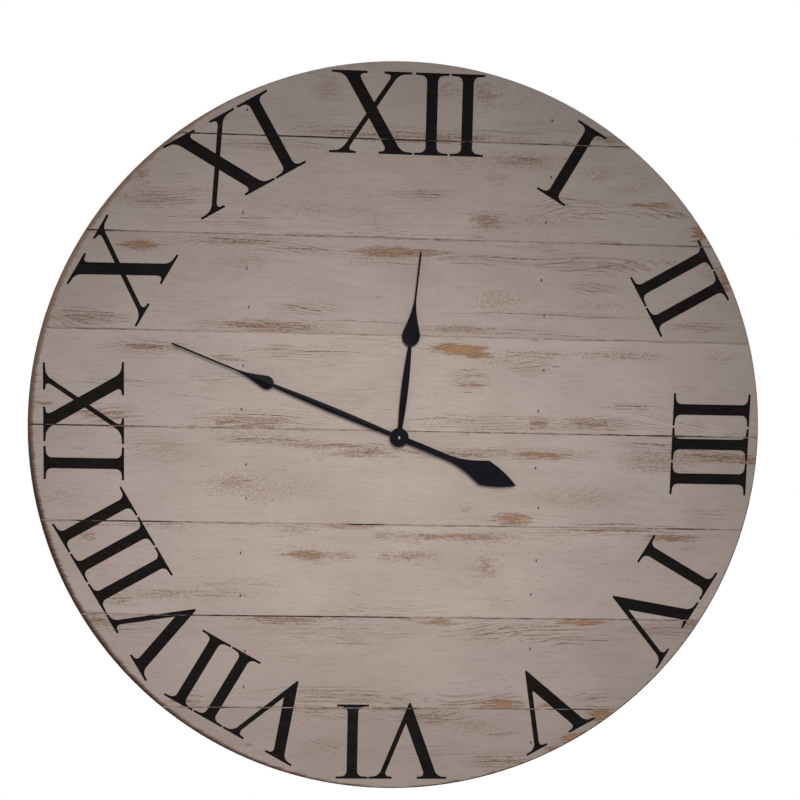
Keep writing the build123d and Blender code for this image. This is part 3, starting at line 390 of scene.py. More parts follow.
# Long grain lines: both ends and the bow of the middle in mm, and how dark
grain_strokes = {
    1: [(-140, 370, 60, 372, 1, 0.7), (20, 376, 190, 374, 1, 0.6), (-115, 429, -80, 424, 2, 0.6)],
    2: [(-230, 353, -130, 351, 1, 0.9), (-215, 348, -150, 347, 1, 0.7), (-352, 284, -268, 282, 1, 0.8),
        (-345, 289, -280, 288, 1, 0.7), (-335, 279, -285, 278, 1, 0.6), (-270, 262, -140, 264, 1, 0.6),
        (0, 299, 52, 297, 1, 1.0), (5, 295, 45, 294, 1, 0.7), (10, 303, 48, 302, 1, 0.6),
        (150, 291, 262, 287, 9, 0.8), (160, 286, 262, 284, 6, 0.7), (200, 280, 262, 281, 1, 1.0),
        (198, 275, 258, 275, 0, 0.9), (296, 288, 356, 282, 1, 1.0), (300, 283, 350, 278, 1, 0.8),
        (-160, 248, 160, 249, 1, 0.6)],
    3: [(-272, 238, -140, 235, 1, 1.0), (-262, 234, -150, 231, 1, 0.8), (-190, 229, -70, 226, 1, 1.0),
        (-155, 161, -85, 151, 0, 1.0), (-150, 157, -92, 148, 0, 0.7), (-236, 137, -95, 133, 1, 1.0),
        (-225, 133, -100, 130, 1, 1.0), (-210, 141, -120, 138, 1, 0.8), (-190, 129, -60, 128, 0, 0.7),
        (-425, 147, -335, 143, 1, 1.0), (-420, 142, -340, 139, 1, 0.9), (-410, 137, -345, 134, 1, 0.8),
        (40, 223, 185, 222, 2, 1.0), (150, 215, 228, 229, -3, 0.9), (185, 209, 300, 229, -4, 1.0),
        (200, 193, 270, 194, 0, 0.8), (205, 187, 262, 187, 0, 0.7), (70, 157, 305, 152, 1, 1.0),
        (340, 146, 402, 143, 1, 0.8), (345, 141, 395, 139, 1, 0.7), (20, 138, 200, 134, 1, 0.8),
        (30, 131, 260, 129, 1, 0.8), (-120, 142, 30, 139, 1, 0.7), (-60, 214, 40, 212, 1, 0.6)],
    4: [(-350, 107, -275, 104, 1, 1.0), (-340, 102, -285, 101, 1, 0.8), (-178, 105, -72, 103, 1, 0.8),
        (-165, 100, -85, 98, 1, 0.7), (-170, 110, -95, 108, 1, 0.6), (-395, 64, -310, 62, 1, 0.6),
        (-400, 24, -330, 22, 1, 0.7), (-395, 17, -340, 16, 1, 0.7), (-226, 23, -105, 21, 1, 0.9),
        (-220, 10, -120, 9, 1, 0.8), (112, 108, 208, 106, 1, 0.8), (118, 103, 200, 102, 1, 0.7),
        (213, 109, 337, 107, 1, 0.8), (220, 104, 330, 103, 1, 0.7), (176, 86, 189, 88, 0, 1.0),
        (188, 92, 201, 91, 0, 1.0), (66, 85, 96, 85, 0, 0.9), (72, 78, 103, 79, 0, 0.8),
        (70, 64, 104, 69, 0, 1.0), (76, 56, 106, 58, 0, 0.8), (263, 43, 321, 42, 1, 1.0),
        (268, 39, 316, 38, 1, 0.7), (48, 28, 102, 26, 1, 0.7), (48, 21, 104, 20, 1, 0.8),
        (52, 14, 98, 13, 1, 0.7), (205, 25, 295, 23, 1, 0.8), (208, 19, 292, 17, 1, 0.9),
        (215, 13, 285, 12, 1, 0.7), (305, 29, 357, 27, 1, 0.6), (-300, 38, -225, 40, 7, 0.5),
        (-120, 60, -40, 55, 1, 0.4)],
    5: [(-222, -6, -100, -9, 1, 0.9), (-210, -11, -110, -13, 1, 0.6), (-130, -13, -30, -15, 1, 0.8),
        (-78, -20, 2, -22, 1, 0.7), (-70, -26, -5, -27, 1, 0.5), (5, -20, 115, -22, 1, 0.9),
        (15, -25, 110, -26, 1, 0.7), (80, -15, 150, -17, 1, 0.9), (148, -18, 228, -21, 1, 1.0),
        (155, -25, 220, -26, 1, 0.8), (283, -4, 347, -6, 1, 1.0), (290, -16, 350, -18, 1, 0.7),
        (292, -24, 352, -26, 1, 0.8), (295, -33, 345, -35, 1, 0.6), (350, -17, 450, -20, 1, 1.0),
        (355, -24, 448, -26, 1, 0.9), (365, -92, 430, -95, 1, 0.6), (200, -108, 380, -109, 1, 1.0)],
    6: [(-360, -200, -150, -203, 1, 0.6), (-350, -206, -160, -208, 1, 0.6),
        (-260, -190, -130, -191, 1, 0.6), (310, -122, 400, -124, 1, 0.9), (200, -115, 380, -116, 0, 1.0),
        (-360, -115, -250, -115, 0, 1.0)],
    7: [(-392, -238, -348, -240, 1, 1.0), (-390, -244, -345, -247, 1, 0.8),
        (-365, -251, -310, -250, 1, 0.6), (-192, -236, -78, -237, 0, 1.0), (-185, -240, -85, -241, 0, 0.8),
        (-160, -246, 0, -247, 1, 0.6), (-155, -252, -5, -254, 1, 0.6), (-150, -258, -10, -260, 1, 0.5),
        (-140, -265, -15, -266, 1, 0.5), (65, -252, 250, -240, 3, 1.0), (70, -257, 255, -244, 3, 0.9),
        (80, -262, 260, -249, 3, 0.8), (100, -266, 262, -254, 3, 0.7), (150, -266, 305, -262, 6, 0.9),
        (165, -271, 310, -268, 6, 0.7), (300, -244, 392, -241, 1, 0.9), (305, -250, 385, -247, 1, 0.7),
        (-140, -328, 0, -327, 1, 0.7), (-140, -333, 0, -332, 1, 0.8), (-138, -338, -5, -337, 1, 0.8),
        (-135, -343, -10, -342, 1, 0.8), (118, -336, 165, -328, 1, 0.8), (70, -341, 120, -338, 1, 0.8),
        (240, -336, 290, -334, 1, 0.9), (-250, -234, 0, -234, 0, 0.9), (240, -346, 300, -346, 0, 1.0)],
    8: [(-120, -356, -50, -358, 1, 0.8), (-115, -361, -55, -362, 1, 0.6), (0, -358, 85, -360, 1, 1.0),
        (2, -363, 84, -365, 1, 1.0), (8, -368, 78, -369, 1, 0.8), (120, -384, 160, -382, 0, 0.9),
        (100, -414, 166, -415, 1, 0.9), (102, -420, 164, -421, 1, 0.9), (108, -427, 158, -428, 1, 0.7),
        (240, -352, 295, -352, 0, 1.0)],
}

stroke_waver = 7.0        # in mm, as the strokes are
outline_push = (70 * mm, 0.0, 11 * mm)
any_depth = 1e3           # so that a spot reaches through the board
no_edge = dial_radius + 1.0
board_shift = (1.7, 0.9, 2.3)
joint_shade_reach = (2.2 * mm, 0.6 * mm)
wash_reach = (face_y + 3.3 * mm, face_y + 3.1 * mm)
aged_pine, joint_shade_brown = shade(150, 112, 74), shade(96, 68, 44)


def streaked(place, strokes):
    """How dark the long grain lines are at a point."""
    wander = sway(noise(place, (24, 24, 60), 3, 0.6), stroke_waver)
    amount = 0.0
    for x0, z0, x1, z1, bow, strength in strokes:
        inputs = {"Vector": place, "Location": ((x0 + x1) / 2 * mm, 0, (z0 + z1) / 2 * mm),
                  "Rotation": (0, -math.atan2(z1 - z0, x1 - x0), 0),
                  "Scale": (math.hypot(x1 - x0, z1 - z0) / 2 * mm, 1, mm)}
        local = put("Mapping", inputs, vector_type="TEXTURE").outputs[0]
        line = use(stroke, {"Place": local, "Bow": bow, "Wander": wander})["Amount"]
        amount = calc("MAXIMUM", amount, calc("MULTIPLY", line, strength))
    return amount


def worn(place, spots):
    """How far a point lies inside the worn spots: full at a spot's centre and nothing at its edge."""
    amount = 0.0
    for x, z, half_length, half_height, strength in spots:
        inputs = {"Vector": place, "Location": (x * mm, 0, z * mm),
                  "Scale": (half_length * mm, any_depth, half_height * mm)}
        local = put("Mapping", inputs, vector_type="TEXTURE").outputs[0]
        far = put("VectorMath", {0: local, 1: local}, operation="DOT_PRODUCT").outputs["Value"]
        amount = calc("MAXIMUM", amount, calc("MULTIPLY_ADD", far, -strength, strength))
    return amount


def ragged(place):
    """The place pushed about by a few mm, so that a spot drawn on it has an uneven outline."""
    push = noise(place, (34, 34, 300), 4, 0.65, "Color")
    push = vector("SUBTRACT", push, (0.5, 0.5, 0.5))
    return vector("MULTIPLY_ADD", push, outline_push, place)


for number in range(1, board_count + 1):
    low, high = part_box(f"board_{number}")
    material, shader, place = new_material(f"whitewashed_board_{number}")
    shift = tuple(step * number for step in board_shift)
    uneven = ragged(place)
    front = use(wash, {
        "Rubbed": worn(uneven, rubbed_spots[number]),
        "Stippled": worn(uneven, stippled_spots[number]),
        "Lined": worn(place, lined_spots[number]),
        "Streaked": streaked(place, grain_strokes[number]),
        "Top Edge": high.z if number > 1 else no_edge,
        "Bottom Edge": low.z if number < board_count else -no_edge,
        "Thin Wash": thin_wash[number],
        "Shift": shift})
    raw = use(pine, {"Place": vector("ADD", place, shift)})
    at = split(place)
    # Painted shade along the joints: the raw back and sides darken towards each board's two long edges
    edge = calc("MAXIMUM", rise(at[2], *(high.z - reach for reach in joint_shade_reach)),
                rise(at[2], *(low.z + reach for reach in joint_shade_reach)))
    back = tint(board_age[number], raw["Color"], aged_pine)
    back = tint(calc("MULTIPLY", edge, 0.65), back, joint_shade_brown)
    on_face = rise(at[1], *wash_reach)
    color = tint(on_face, back, front["Color"])
    roughness, height = (put("Mix", {0: on_face, 2: raw[key], 3: front[key]}).outputs[0]
                         for key in ("Roughness", "Height"))
    finish_surface(shader, color, roughness, height, depth=0.25 * mm, specular=0.25)
    dress(material, f"board_{number}")

# Paint in the joints: whitewash that ran into the grooves between the boards and dried there, with the dust
# of the sanding, and painted shade of the open crack, dark in stretches along each joint. Its face is drawn
# in between the two edges, and no light comes through the joints.
joint_depth = 0.10 * mm
joint_hollow = 0.08 * mm
joint_lap = 0.6 * mm
joint_thickness = 4.0 * mm
joint_end = 3.6 * mm
joint_flare = 3.0 * mm
tone_swing, break_swing = 1.1, 2.6
pale_joint, joint_crack_shade, joint_dust = shade(165, 148, 138), shade(26, 20, 18), shade(100, 81, 70)
stretch_height = 5
# Where the painted shade in each joint is darker, from the top one down: centre across and half length in mm,
# and how dark
shaded_stretches = [
    [(0, 900, 0.62), (20, 110, 1.05), (-110, 120, 1.25), (-230, 90, 1.0), (160, 40, 0.9)],
    [(0, 900, 0.16), (400, 120, 0.45), (-372, 50, 1.1)],
    [(-360, 120, 0.35)],
    [(0, 900, 0.33), (340, 140, 0.55), (340, 70, 1.1), (-400, 110, 1.0)],
    [(0, 900, 0.26), (-340, 100, 1.2), (-45, 36, 0.85), (310, 120, 0.4), (365, 40, 0.85)],
    [(-150, 200, 1.1), (-40, 75, 1.15), (220, 240, 0.5)],
    [(0, 900, 0.36), (242, 60, 1.0), (-200, 75, 0.66), (10, 65, 0.62)]]
gaps = [(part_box(f"board_{n + 1}")[1].z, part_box(f"board_{n}")[0].z) for n in range(1, board_count)]
seams = [(bottom + top) / 2 for bottom, top in gaps]
shaded_spots = [(x, seam / mm, half_length, stretch_height, strength)
              for seam, stretches in zip(seams, shaded_stretches) for x, half_length, strength in stretches]

joint_paint_and_shade, shader, place = new_material("paint_and_shade_in_joints")
tone = noise(place, (5.5, 5.5, 40), 3, 0.6)
breaks = noise(place, (60, 60, 60), 4, 0.65)
crumb = noise(place, (260, 260, 260), 3)
# Painted shade: the strip is darkened as the crack between two boards would be, most in the listed stretches,
# broken up along its length
crack_shade = worn(place, shaded_spots)
crack_shade = calc("ADD", crack_shade, sway(tone, tone_swing))
crack_shade = calc("ADD", crack_shade, sway(breaks, break_swing))
color = tint(crack_shade, pale_joint, joint_crack_shade)
color = tint(rise(crumb, 0.5, 0.7, most=0.2), color, joint_dust)
roughness = calc("MULTIPLY_ADD", crumb, 0.1, 0.8)
finish_surface(shader, color, roughness, crumb, depth=0.1 * mm, specular=0.2)


def flat_plane(size, middle):
    """Square that stands upright and faces the viewer."""
    bpy.ops.object.select_all(action="DESELECT")
    bpy.ops.mesh.primitive_plane_add(size=size, rotation=(math.pi / 2, 0, 0), location=middle)
    bpy.ops.object.transform_apply(location=True, rotation=True, scale=True)
    return bpy.context.object


def hold(*pieces):
    """Selects pieces and nothing else, with the first as the active one."""
    bpy.ops.object.select_all(action="DESELECT")
    for piece in pieces:
        piece.select_set(True)
    bpy.context.view_layer.objects.active = pieces[0]


def edit(piece):
    """Opens one piece in edit mode with all of it selected."""
    hold(piece)
    bpy.ops.object.mode_set(mode="EDIT")
    bpy.ops.mesh.select_all(action="SELECT")


def object_mode():
    """Goes back to object mode."""
    bpy.ops.object.mode_set(mode="OBJECT")


def edit_where(piece, wanted):
    """Opens one piece in edit mode with only those vertices selected whose place is wanted."""
    edit(piece)
    bpy.ops.mesh.select_all(action="DESELECT")
    object_mode()
    for vertex in piece.data.vertices:
        vertex.select = wanted(vertex.co)
    bpy.ops.object.mode_set(mode="EDIT")


def thicken(piece, thickness, offset):
    """Gives the flat piece in hand its thickness."""
    solid = piece.modifiers.new("thickness", "SOLIDIFY")
    solid.thickness = thickness
    solid.offset = offset
    bpy.ops.object.modifier_apply(modifier=solid.name)


for number, ((bottom, top), middle) in enumerate(zip(gaps, seams), 1):
    joint_length = 2 * (math.sqrt(dial_radius ** 2 - middle ** 2) - joint_end)
    joint_height = top - bottom + 2 * joint_lap
    joint = flat_plane(1.0, (0, 0, 0))
    joint.name = f"joint_paint_and_shade_{number}"
    edit(joint)
    bpy.ops.transform.resize(value=(joint_length, 1, joint_height), center_override=(0, 0, 0))
    bpy.ops.mesh.bisect(plane_co=(0, 0, 0), plane_no=(0, 0, 1))
    object_mode()
    edit_where(joint, lambda at: abs(at.z) < (top - bottom) / 8)
    bpy.ops.transform.translate(value=(0, joint_hollow, 0))
    bpy.ops.mesh.select_all(action="SELECT")
    bpy.ops.transform.translate(value=(0, face_y + joint_depth, middle))
    object_mode()
    thicken(joint, joint_thickness, -1.0)
    edit_where(joint, lambda at: at.y > face_y + joint_thickness / 2)
    flare = 1 + 2 * joint_flare / joint_length
    bpy.ops.transform.resize(value=(flare, 1, 1), center_override=(0, 0, middle))
    object_mode()
    joint.data.materials.append(joint_paint_and_shade)
    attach(joint, "clock_body")

# Numerals: twelve Roman numerals, brushed in black through a cut stencil, their tops to the rim.
# The paint is a thin matt film on the boards' faces, and it stops at the groove between two boards.
film = 0.2 * mm
groove = 1.3 * mm
weld = 0.02 * mm
hour_angle = math.radians(30)
letter_height = 98.0
serif_height = 3.0
serif_slope = 0.5
bracket = 7.0
bracket_steps = 5


def stroke_rows(foot_x, head_x, half, foot_serif, head_serif, foot=0.0):
    """Height, left and right of each row of a stroke, from its foot to its head. A stroke leans from one
    x to the other, and a serif is the left and right end of the bar across that end."""
    def edges(height, flare):
        middle = foot_x + (head_x - foot_x) * height / letter_height
        return (height, middle - half - flare, middle + half + flare)

    def end(serif):
        turns = [math.pi / 2 * step / bracket_steps for step in range(bracket_steps + 1)]
        curve = [(serif_height + bracket * (1 - math.cos(turn)), bracket * (1 - math.sin(turn)))
                 for turn in turns]
        return [(0.0, *serif), (serif_height - serif_slope, *serif)], curve

    rows = []
    if foot_serif:
        bar, curve = end(foot_serif)
        rows += bar + [edges(height, flare) for height, flare in curve]
    else:
        rows.append(edges(foot, 0.0))
    bar, curve = end(head_serif)
    rows += [edges(letter_height - height, flare) for height, flare in reversed(curve)]
    rows += [(letter_height - height, left, right) for height, left, right in reversed(bar)]
    return rows


def flat_stroke(rows):
    """Stroke on the boards' face, extruded upwards row by row from the edge at its foot."""
    height, left, right = rows[0]
    width = right - left
    middle = Vector(((left + right) / 2 * mm, face_y, height * mm))
    piece = flat_plane(width * mm, middle)
    edit_where(piece, lambda at: at.z > middle.z)
    bpy.ops.mesh.delete(type="VERT")
    bpy.ops.mesh.select_all(action="SELECT")
    bpy.ops.transform.translate(value=(0, 0, width / 2 * mm))
    for height, left, right in rows[1:]:
        centre = Vector(((left + right) / 2 * mm, face_y, height * mm))
        bpy.ops.mesh.extrude_region_move(TRANSFORM_OT_translate={"value": centre - middle})
        bpy.ops.transform.resize(value=((right - left) / width, 1, 1), center_override=centre)
        middle = centre
        width = right - left
    object_mode()
    return piece


def trim(piece, point, along, keep_left):
    """Cuts a flat stroke along a line up the face and keeps one side of it."""
    edit(piece)
    normal = Vector((along[1], 0, -along[0])).normalized()
    place = Vector((point[0] * mm, face_y, point[1] * mm))
    bpy.ops.mesh.bisect(plane_co=place, plane_no=normal, clear_outer=keep_left, clear_inner=not keep_left)
    object_mode()


def join(pieces, name):
    """Joins pieces into the first one."""
    hold(*pieces)
    if len(pieces) > 1:
        bpy.ops.object.join()
    pieces[0].name = name
    return pieces[0]


# Letter I: an upright stem
stem_half = 6.75
stem_serif = (-20.5, 20.5)
letter_i = flat_stroke(stroke_rows(0, 0, stem_half, stem_serif, stem_serif))
letter_i.name = "letter_i"

# Letter V: two strokes that lean on each other at the foot, each given by the x of its foot and of its head
v_foot = -2.5
v_thick, v_thin = (5.6, -30.5), (-1.6, 36.0)
v_thick_half, v_thin_half = 7.75, 3.35
v_thick_serif, v_thin_serif = (-49.5, -11.0), (21.0, 51.0)
thick = flat_stroke(stroke_rows(*v_thick, v_thick_half, None, v_thick_serif, v_foot))
thin = flat_stroke(stroke_rows(*v_thin, v_thin_half, None, v_thin_serif, v_foot))
trim(thick, (v_thin[0] + v_thin_half, 0), (v_thin[1] - v_thin[0], letter_height), True)
trim(thin, (v_thick[0] + v_thick_half, 0), (v_thick[1] - v_thick[0], letter_height), False)
letter_v = join([thick, thin], "letter_v")

# Letter X: a thick stroke with a thin arm on either side
x_thick, x_thin = (28.5, -29.0), (-36.5, 29.5)
x_thick_half, x_thin_half = 8.5, 3.5
x_thick_serifs, x_thin_serifs = ((8.0, 49.0), (-50.5, -7.5)), ((-52.5, -20.0), (13.0, 46.5))
x_strokes = [flat_stroke(stroke_rows(*x_thick, x_thick_half, *x_thick_serifs))]
x_lean = (x_thick[1] - x_thick[0], letter_height)
for keep_left, side in ((True, -1), (False, 1)):
    arm = flat_stroke(stroke_rows(*x_thin, x_thin_half, *x_thin_serifs))
    trim(arm, (x_thick[0] + side * x_thick_half, 0), x_lean, keep_left)
    x_strokes.append(arm)
letter_x = join(x_strokes, "letter_x")

# Each numeral: distance of its foot from the hub, then its letters and how far each stands from the middle
numerals = {
    1: (349, [("i", 6.5)]),
    2: (347, [("i", -14.5), ("i", 28.5)]),
    3: (345.5, [("i", -41), ("i", 3), ("i", 47)]),
    4: (344, [("i", -40), ("v", 34.5)]),
    5: (346.5, [("v", 3)]),
    6: (345, [("v", -22), ("i", 50.5)]),
    7: (336, [("v", -52.5), ("i", 20.5), ("i", 63.5)]),
    8: (331, [("v", -68), ("i", 4.5), ("i", 48), ("i", 91.5)]),
    9: (339, [("i", -40.5), ("x", 36.5)]),
    10: (345, [("x", 2)]),
    11: (348, [("x", -30), ("i", 41.5)]),
    12: (345.5, [("x", -40.5), ("i", 31), ("i", 74.5)]),
}
letters = {"i": letter_i, "v": letter_v, "x": letter_x}

full_black, dry_black = shade(22, 19, 19), shade(33, 29, 29)
thin_black, chip_color = shade(46, 40, 39), shade(110, 92, 82)
black_paint, shader, place = new_material("stencilled_black_paint")
dry = noise(place, (30, 30, 260), 4, 0.65)
chip = noise(place, (120, 120, 300), 3, 0.6)
thin_paint = noise(place, (14, 14, 22), 3)
color = tint(rise(dry, 0.40, 0.70), full_black, dry_black)
color = tint(rise(thin_paint, 0.52, 0.75, most=0.30), color, thin_black)
color = tint(rise(chip, 0.73, 0.78, most=0.6), color, chip_color)
roughness = calc("MULTIPLY_ADD", dry, 0.2, 0.65)
finish_surface(shader, color, roughness, dry, depth=0.12 * mm, specular=0.04)

for hour, (foot, spelling) in numerals.items():
    copies = []
    for letter, across in spelling:
        copy = bpy.data.objects.new("letter", letters[letter].data.copy())
        scene.collection.objects.link(copy)
        copy.location = (across * mm, 0, foot * mm)
        copies.append(copy)
    hold(*copies)
    bpy.ops.object.transform_apply(location=True, rotation=False, scale=False)
    numeral = join(copies, f"numeral_{hour}")
    numeral.rotation_euler = (0, hour_angle * hour, 0)
    bpy.ops.object.transform_apply(location=False, rotation=True, scale=False)
    for seam in seams:
        for side in (-1, 1):
            edit(numeral)
            bpy.ops.mesh.bisect(plane_co=(0, face_y, seam + side * groove / 2), plane_no=(0, 0, 1))
            object_mode()
        edit(numeral)
        bpy.ops.mesh.select_mode(type="FACE")
        bpy.ops.mesh.select_all(action="DESELECT")
        object_mode()
        for polygon in numeral.data.polygons:
            polygon.select = abs(polygon.center.z - seam) < groove / 2
        bpy.ops.object.mode_set(mode="EDIT")
        bpy.ops.mesh.delete(type="FACE")
        bpy.ops.mesh.select_mode(type="VERT")
        object_mode()
    edit(numeral)
    bpy.ops.mesh.remove_doubles(threshold=weld)
    object_mode()
    thicken(numeral, film, 1.0)
    numeral.data.materials.clear()
    numeral.data.materials.append(black_paint)
    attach(numeral, "clock_body")
for form in letters.values():
    bpy.data.objects.remove(form)

# Battens: two lengths of sawn pine behind the boards, under the two rows of nails.
# They are left raw, with the grain upright, and each has a dado across it behind its hanger.
saw_line_color = shade(150, 112, 72)
batten_pine, shader, place = new_material("sawn_pine")
at = split(place)
upright = put("CombineXYZ", {0: at[2], 1: at[1], 2: at[0]}).outputs[0]
raw = use(pine, {"Place": upright})
saw_lines = noise(place, (20, 20, 700))
color = tint(rise(saw_lines, 0.5, 0.7, most=0.18), raw["Color"], saw_line_color)
height = calc("MULTIPLY_ADD", saw_lines, 0.6, raw["Height"])
finish_surface(shader, color, raw["Roughness"], height, depth=0.3 * mm, specular=0.3)
dress(batten_pine, "batten_left", "batten_right")


# Brads, hangers and screws: the brads are drawn steel, set below the face, left open and rusted dark. Bright
# countersunk screws hold the two keyhole hangers, which are pressed from zinc-plated strip.
def metal(name, bright, dull, lines, rough):
    """Metal with so many fine working lines to the metre along each axis, a little dulled here and there."""
    material, shader, place = new_material(name)
    worked = noise(place, lines, 3, 0.6)
    cloud = noise(place, (90, 90, 90), 4)
    color = tint(rise(cloud, 0.35, 0.70), bright, dull)
    color = tint(rise(worked, 0.5, 0.8, most=0.25), color, dull)
    shader.inputs["Metallic"].default_value = 1.0
    finish_surface(shader, color, calc("MULTIPLY_ADD", cloud, 0.25, rough), worked, depth=0.03 * mm)
    return material


steel = metal("bright_steel", shade(176, 176, 178), shade(128, 127, 126), (200, 200, 2600), 0.28)
dark_steel = metal("rusted_steel", shade(74, 62, 54), shade(46, 38, 33), (300, 300, 300), 0.5)
zinc = metal("zinc_plate", shade(196, 199, 203), shade(156, 160, 166), (700, 60, 60), 0.24)
dress(dark_steel, "brads")
dress(steel, "hanger_screws", "stator", "coil_core", "quartz_crystal", "rotor_magnet")
dress(zinc, "hanger_left", "hanger_right", "contact_positive", "contact_negative")


# Movement: a black moulded case and cover that snap together, with the battery bay open to the back, and
# white moulded wheels inside on a white plate. The ribbed setting knob is sunk in the back.
def plastic(name, color, pale, rough, grain):
    """Moulded plastic with a fine matt grain, a little paler where it is handled."""
    material, shader, place = new_material(name)
    fine = noise(place, (grain, grain, grain), 3, 0.6)
    cloud = noise(place, (40, 40, 40), 3)
    surface = tint(rise(cloud, 0.40, 0.75), color, pale)
    roughness = calc("MULTIPLY_ADD", fine, 0.2, rough)
    finish_surface(shader, surface, roughness, fine, depth=0.05 * mm, specular=0.35)
    return material


black_plastic = plastic("black_moulding", shade(30, 30, 32), shade(40, 40, 42), 0.46, 1400)
white_plastic = plastic("white_moulding", shade(226, 224, 216), shade(236, 234, 228), 0.36, 900)
dress(black_plastic, "rear_case", "front_cover", "setting_knob")
dress(white_plastic, "gear_plate", "rotor_pinion", "intermediate_wheel", "second_wheel", "third_wheel",
      "minute_wheel", "minute_work_wheel", "hour_wheel")

# Circuit board and coil: bare brown laminate pinned to two pads of the case, and the motor's coil, wound with
# fine enamelled copper wire on the core that bridges the ends of the stator.
laminate = plastic("circuit_laminate", shade(150, 104, 56), shade(164, 118, 66), 0.42, 700)
copper = metal("copper_winding", shade(196, 112, 66), shade(140, 70, 38), (60, 60, 9000), 0.30)
dress(laminate, "circuit_board")
dress(copper, "coil")

# Battery: a plain steel cell in a printed sleeve, dark with one copper-coloured band at its positive end,
# and bare metal at both ends.
band_edge = (16.2 * mm, 16.0 * mm)
minus_end, plus_end = (0.9 * mm, 0.8 * mm), (1.9 * mm, 1.8 * mm)
sleeve_dark, sleeve_copper, bare_steel = shade(38, 39, 42), shade(176, 118, 70), shade(190, 190, 192)
battery_low, battery_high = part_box("battery")
cell, shader, place = new_material("battery_sleeve")
along = split(place)[0]
fine = noise(place, (60, 900, 900))
band = rise(along, *(battery_high.x - edge for edge in band_edge))
bare_end = calc("MAXIMUM", rise(along, *(battery_low.x + edge for edge in minus_end)),
                rise(along, *(battery_high.x - edge for edge in plus_end)))
color = tint(band, sleeve_dark, sleeve_copper)
color = tint(bare_end, color, bare_steel)
feed(shader.inputs["Metallic"], calc("MAXIMUM", bare_end, calc("MULTIPLY", band, 0.6)))
finish_surface(shader, color, calc("MULTIPLY_ADD", fine, 0.15, 0.26), fine, depth=0.02 * mm)
dress(cell, "battery")

# Clamp: a moulded rubber washer behind the boards, and in front a turned brass washer and hexagon nut on the
# bushing. The nickel-plated minute shaft runs through it to the hands.
rubber = plastic("black_rubber", shade(34, 33, 33), shade(44, 43, 42), 0.74, 900)
brass = metal("turned_brass", shade(208, 172, 104), shade(164, 128, 70), (900, 60, 900), 0.26)
nickel = metal("nickel_plated_brass", shade(150, 147, 136), shade(112, 108, 98), (900, 60, 900), 0.50)
dress(rubber, "rubber_washer")
dress(brass, "flat_washer", "hex_nut")
dress(nickel, "minute_shaft")

# Hands: a pair of spade hands stamped from thin aluminium, folded along the middle to stiffen them and
# sprayed satin black. The small nut that holds the minute hand is sprayed with them.
satin_black, dusty_black = shade(11, 11, 18), shade(19, 19, 27)
hand_paint, shader, place = new_material("satin_black_paint")
spray = noise(place, (1600, 1600, 1600))
dust = noise(place, (60, 60, 60), 4, 0.6)
color = tint(rise(dust, 0.45, 0.75), satin_black, dusty_black)
roughness = calc("MULTIPLY_ADD", dust, 0.16, 0.40)
finish_surface(shader, color, roughness, spray, depth=0.03 * mm, specular=0.05)
dress(hand_paint, "hour_hand", "minute_hand", "minute_nut")

# Floor: a plain pale studio floor well below the clock, which hangs as on its wall. It fades into the white
# of the studio round about.
floor_drop = 0.92
floor_radius = 1.7
floor_sides = 128
floor_fade = (0.20, 0.74)
floor_white = 0.6
dull_floor, pale_floor = shade(232, 231, 229), shade(237, 236, 234)
bpy.ops.object.select_all(action="DESELECT")
bpy.ops.mesh.primitive_circle_add(vertices=floor_sides, radius=floor_radius, fill_type="NGON",
                                  location=(0, 0, -floor_drop))
bpy.ops.object.transform_apply(location=True, rotation=True, scale=True)
floor = bpy.context.object
floor.name = "floor"
floor_paint, shader, place = new_material("floor_paint")
cloud = noise(place, (3, 3, 3), 3)
color = tint(cloud, dull_floor, pale_floor)
finish_surface(shader, color, calc("MULTIPLY_ADD", cloud, 0.1, 0.6), cloud, depth=0.1 * mm)
from_middle = length(vector("MULTIPLY", place, (1, 1, 0)))
tree = floor_paint.node_tree
ray = put("LightPath", {}, tree).outputs
faded = calc("MULTIPLY", rise(from_middle, *floor_fade, least=floor_white), ray["Is Camera Ray"])
studio_white = put("Emission", {"Color": (1, 1, 1, 1), "Strength": 1.0}, tree)
faded_floor = put("MixShader", {0: faded, 1: shader.outputs[0], 2: studio_white.outputs[0]})
tree.links.new(faded_floor.outputs[0], tree.nodes["Material Output"].inputs["Surface"])
floor.data.materials.append(floor_paint)

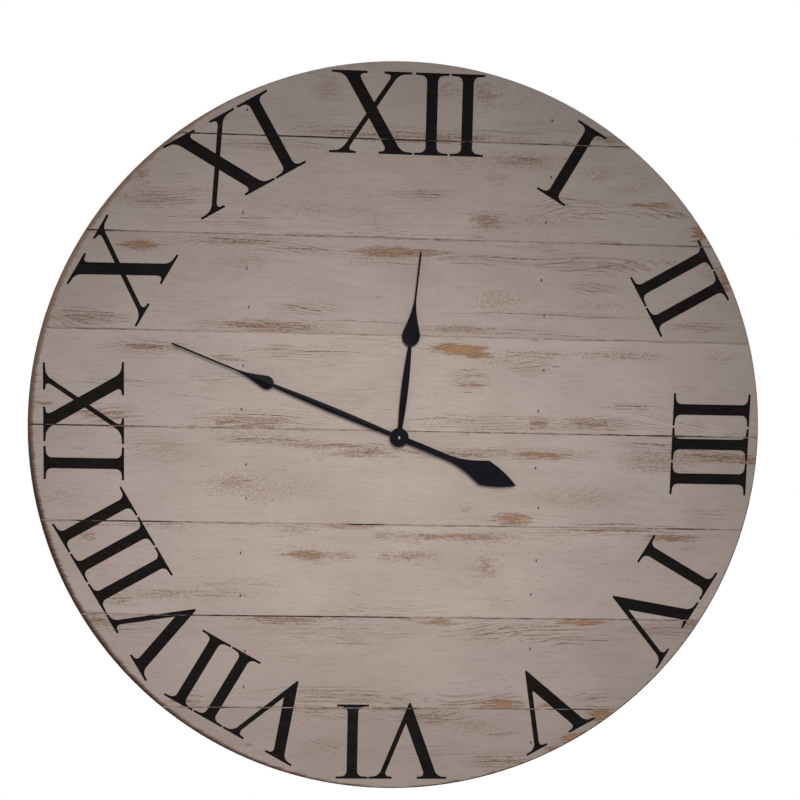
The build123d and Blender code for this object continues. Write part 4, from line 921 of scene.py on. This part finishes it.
# Studio light: an even pale surround, white behind the clock, and one soft lamp above and in front of it,
# whose pool of light is brightest a little below the hub. A weaker lamp lights the back.
surround_strength = 0.29
surround_color = (0.96, 0.97, 1.0, 1.0)
pool = (-0.055, face_y, -0.168)
key_place = (0.10, -1.90, 0.60)
key_power, key_angle, key_radius = 125, math.radians(40.0), 0.34
key_color = (1.0, 0.985, 0.96)
fill_place, fill_power, fill_size = (-0.9, 1.9, 0.9), 30, 1.2
world = bpy.data.worlds.new("studio")
scene.world = world
world.use_nodes = True
tree = world.node_tree
ambient = tree.nodes["Background"]
ambient.inputs["Color"].default_value = surround_color
ambient.inputs["Strength"].default_value = surround_strength
white = put("Background", {"Color": (1, 1, 1, 1), "Strength": 1.0}, tree)
ray = put("LightPath", {}, tree).outputs
seen = calc("MAXIMUM", ray["Is Camera Ray"],
            calc("MAXIMUM", ray["Is Glossy Ray"], ray["Is Transmission Ray"]))
backdrop = put("MixShader", {0: seen, 1: ambient.outputs[0], 2: white.outputs[0]})
tree.links.new(backdrop.outputs[0], tree.nodes["World Output"].inputs["Surface"])


def lamp(kind, name, place, target, power, **settings):
    """Lamp that points at a target."""
    light = bpy.data.lights.new(name, kind)
    light.energy = power
    for setting, value in settings.items():
        setattr(light, setting, value)
    holder = bpy.data.objects.new(name, light)
    holder.location = place
    holder.rotation_euler = (Vector(target) - Vector(place)).to_track_quat("-Z", "Y").to_euler()
    scene.collection.objects.link(holder)


lamp("SPOT", "key", key_place, pool, key_power, spot_size=key_angle, spot_blend=1.0,
     shadow_soft_size=key_radius, color=key_color)
lamp("AREA", "back_fill", fill_place, (0, 0, 0), fill_power, shape="DISK", size=fill_size)

# Camera: a phone at arm's length, a little left of the hub and above it, and not quite level.
# Its place and lens are fitted to the rim and the joints between the boards.
camera_place = Vector((-0.0416, face_y - 1.0541, 0.1231))
yaw = math.radians(2.28)
pitch = math.radians(-4.20)
roll = math.radians(1.33)
forward = Vector((math.sin(yaw) * math.cos(pitch), math.cos(yaw) * math.cos(pitch), math.sin(pitch)))
level = Vector((math.cos(yaw), -math.sin(yaw), 0))
upward = level.cross(forward)
right = math.cos(roll) * level + math.sin(roll) * upward
up = math.cos(roll) * upward - math.sin(roll) * level
camera = bpy.data.objects.new("camera", bpy.data.cameras.new("camera"))
camera.data.sensor_width = 36
camera.data.lens = 38.25
camera.matrix_world = Matrix.Translation(camera_place) @ Matrix((right, up, -forward)).transposed().to_4x4()
scene.collection.objects.link(camera)
scene.camera = camera
scene.view_settings.view_transform = "Standard"
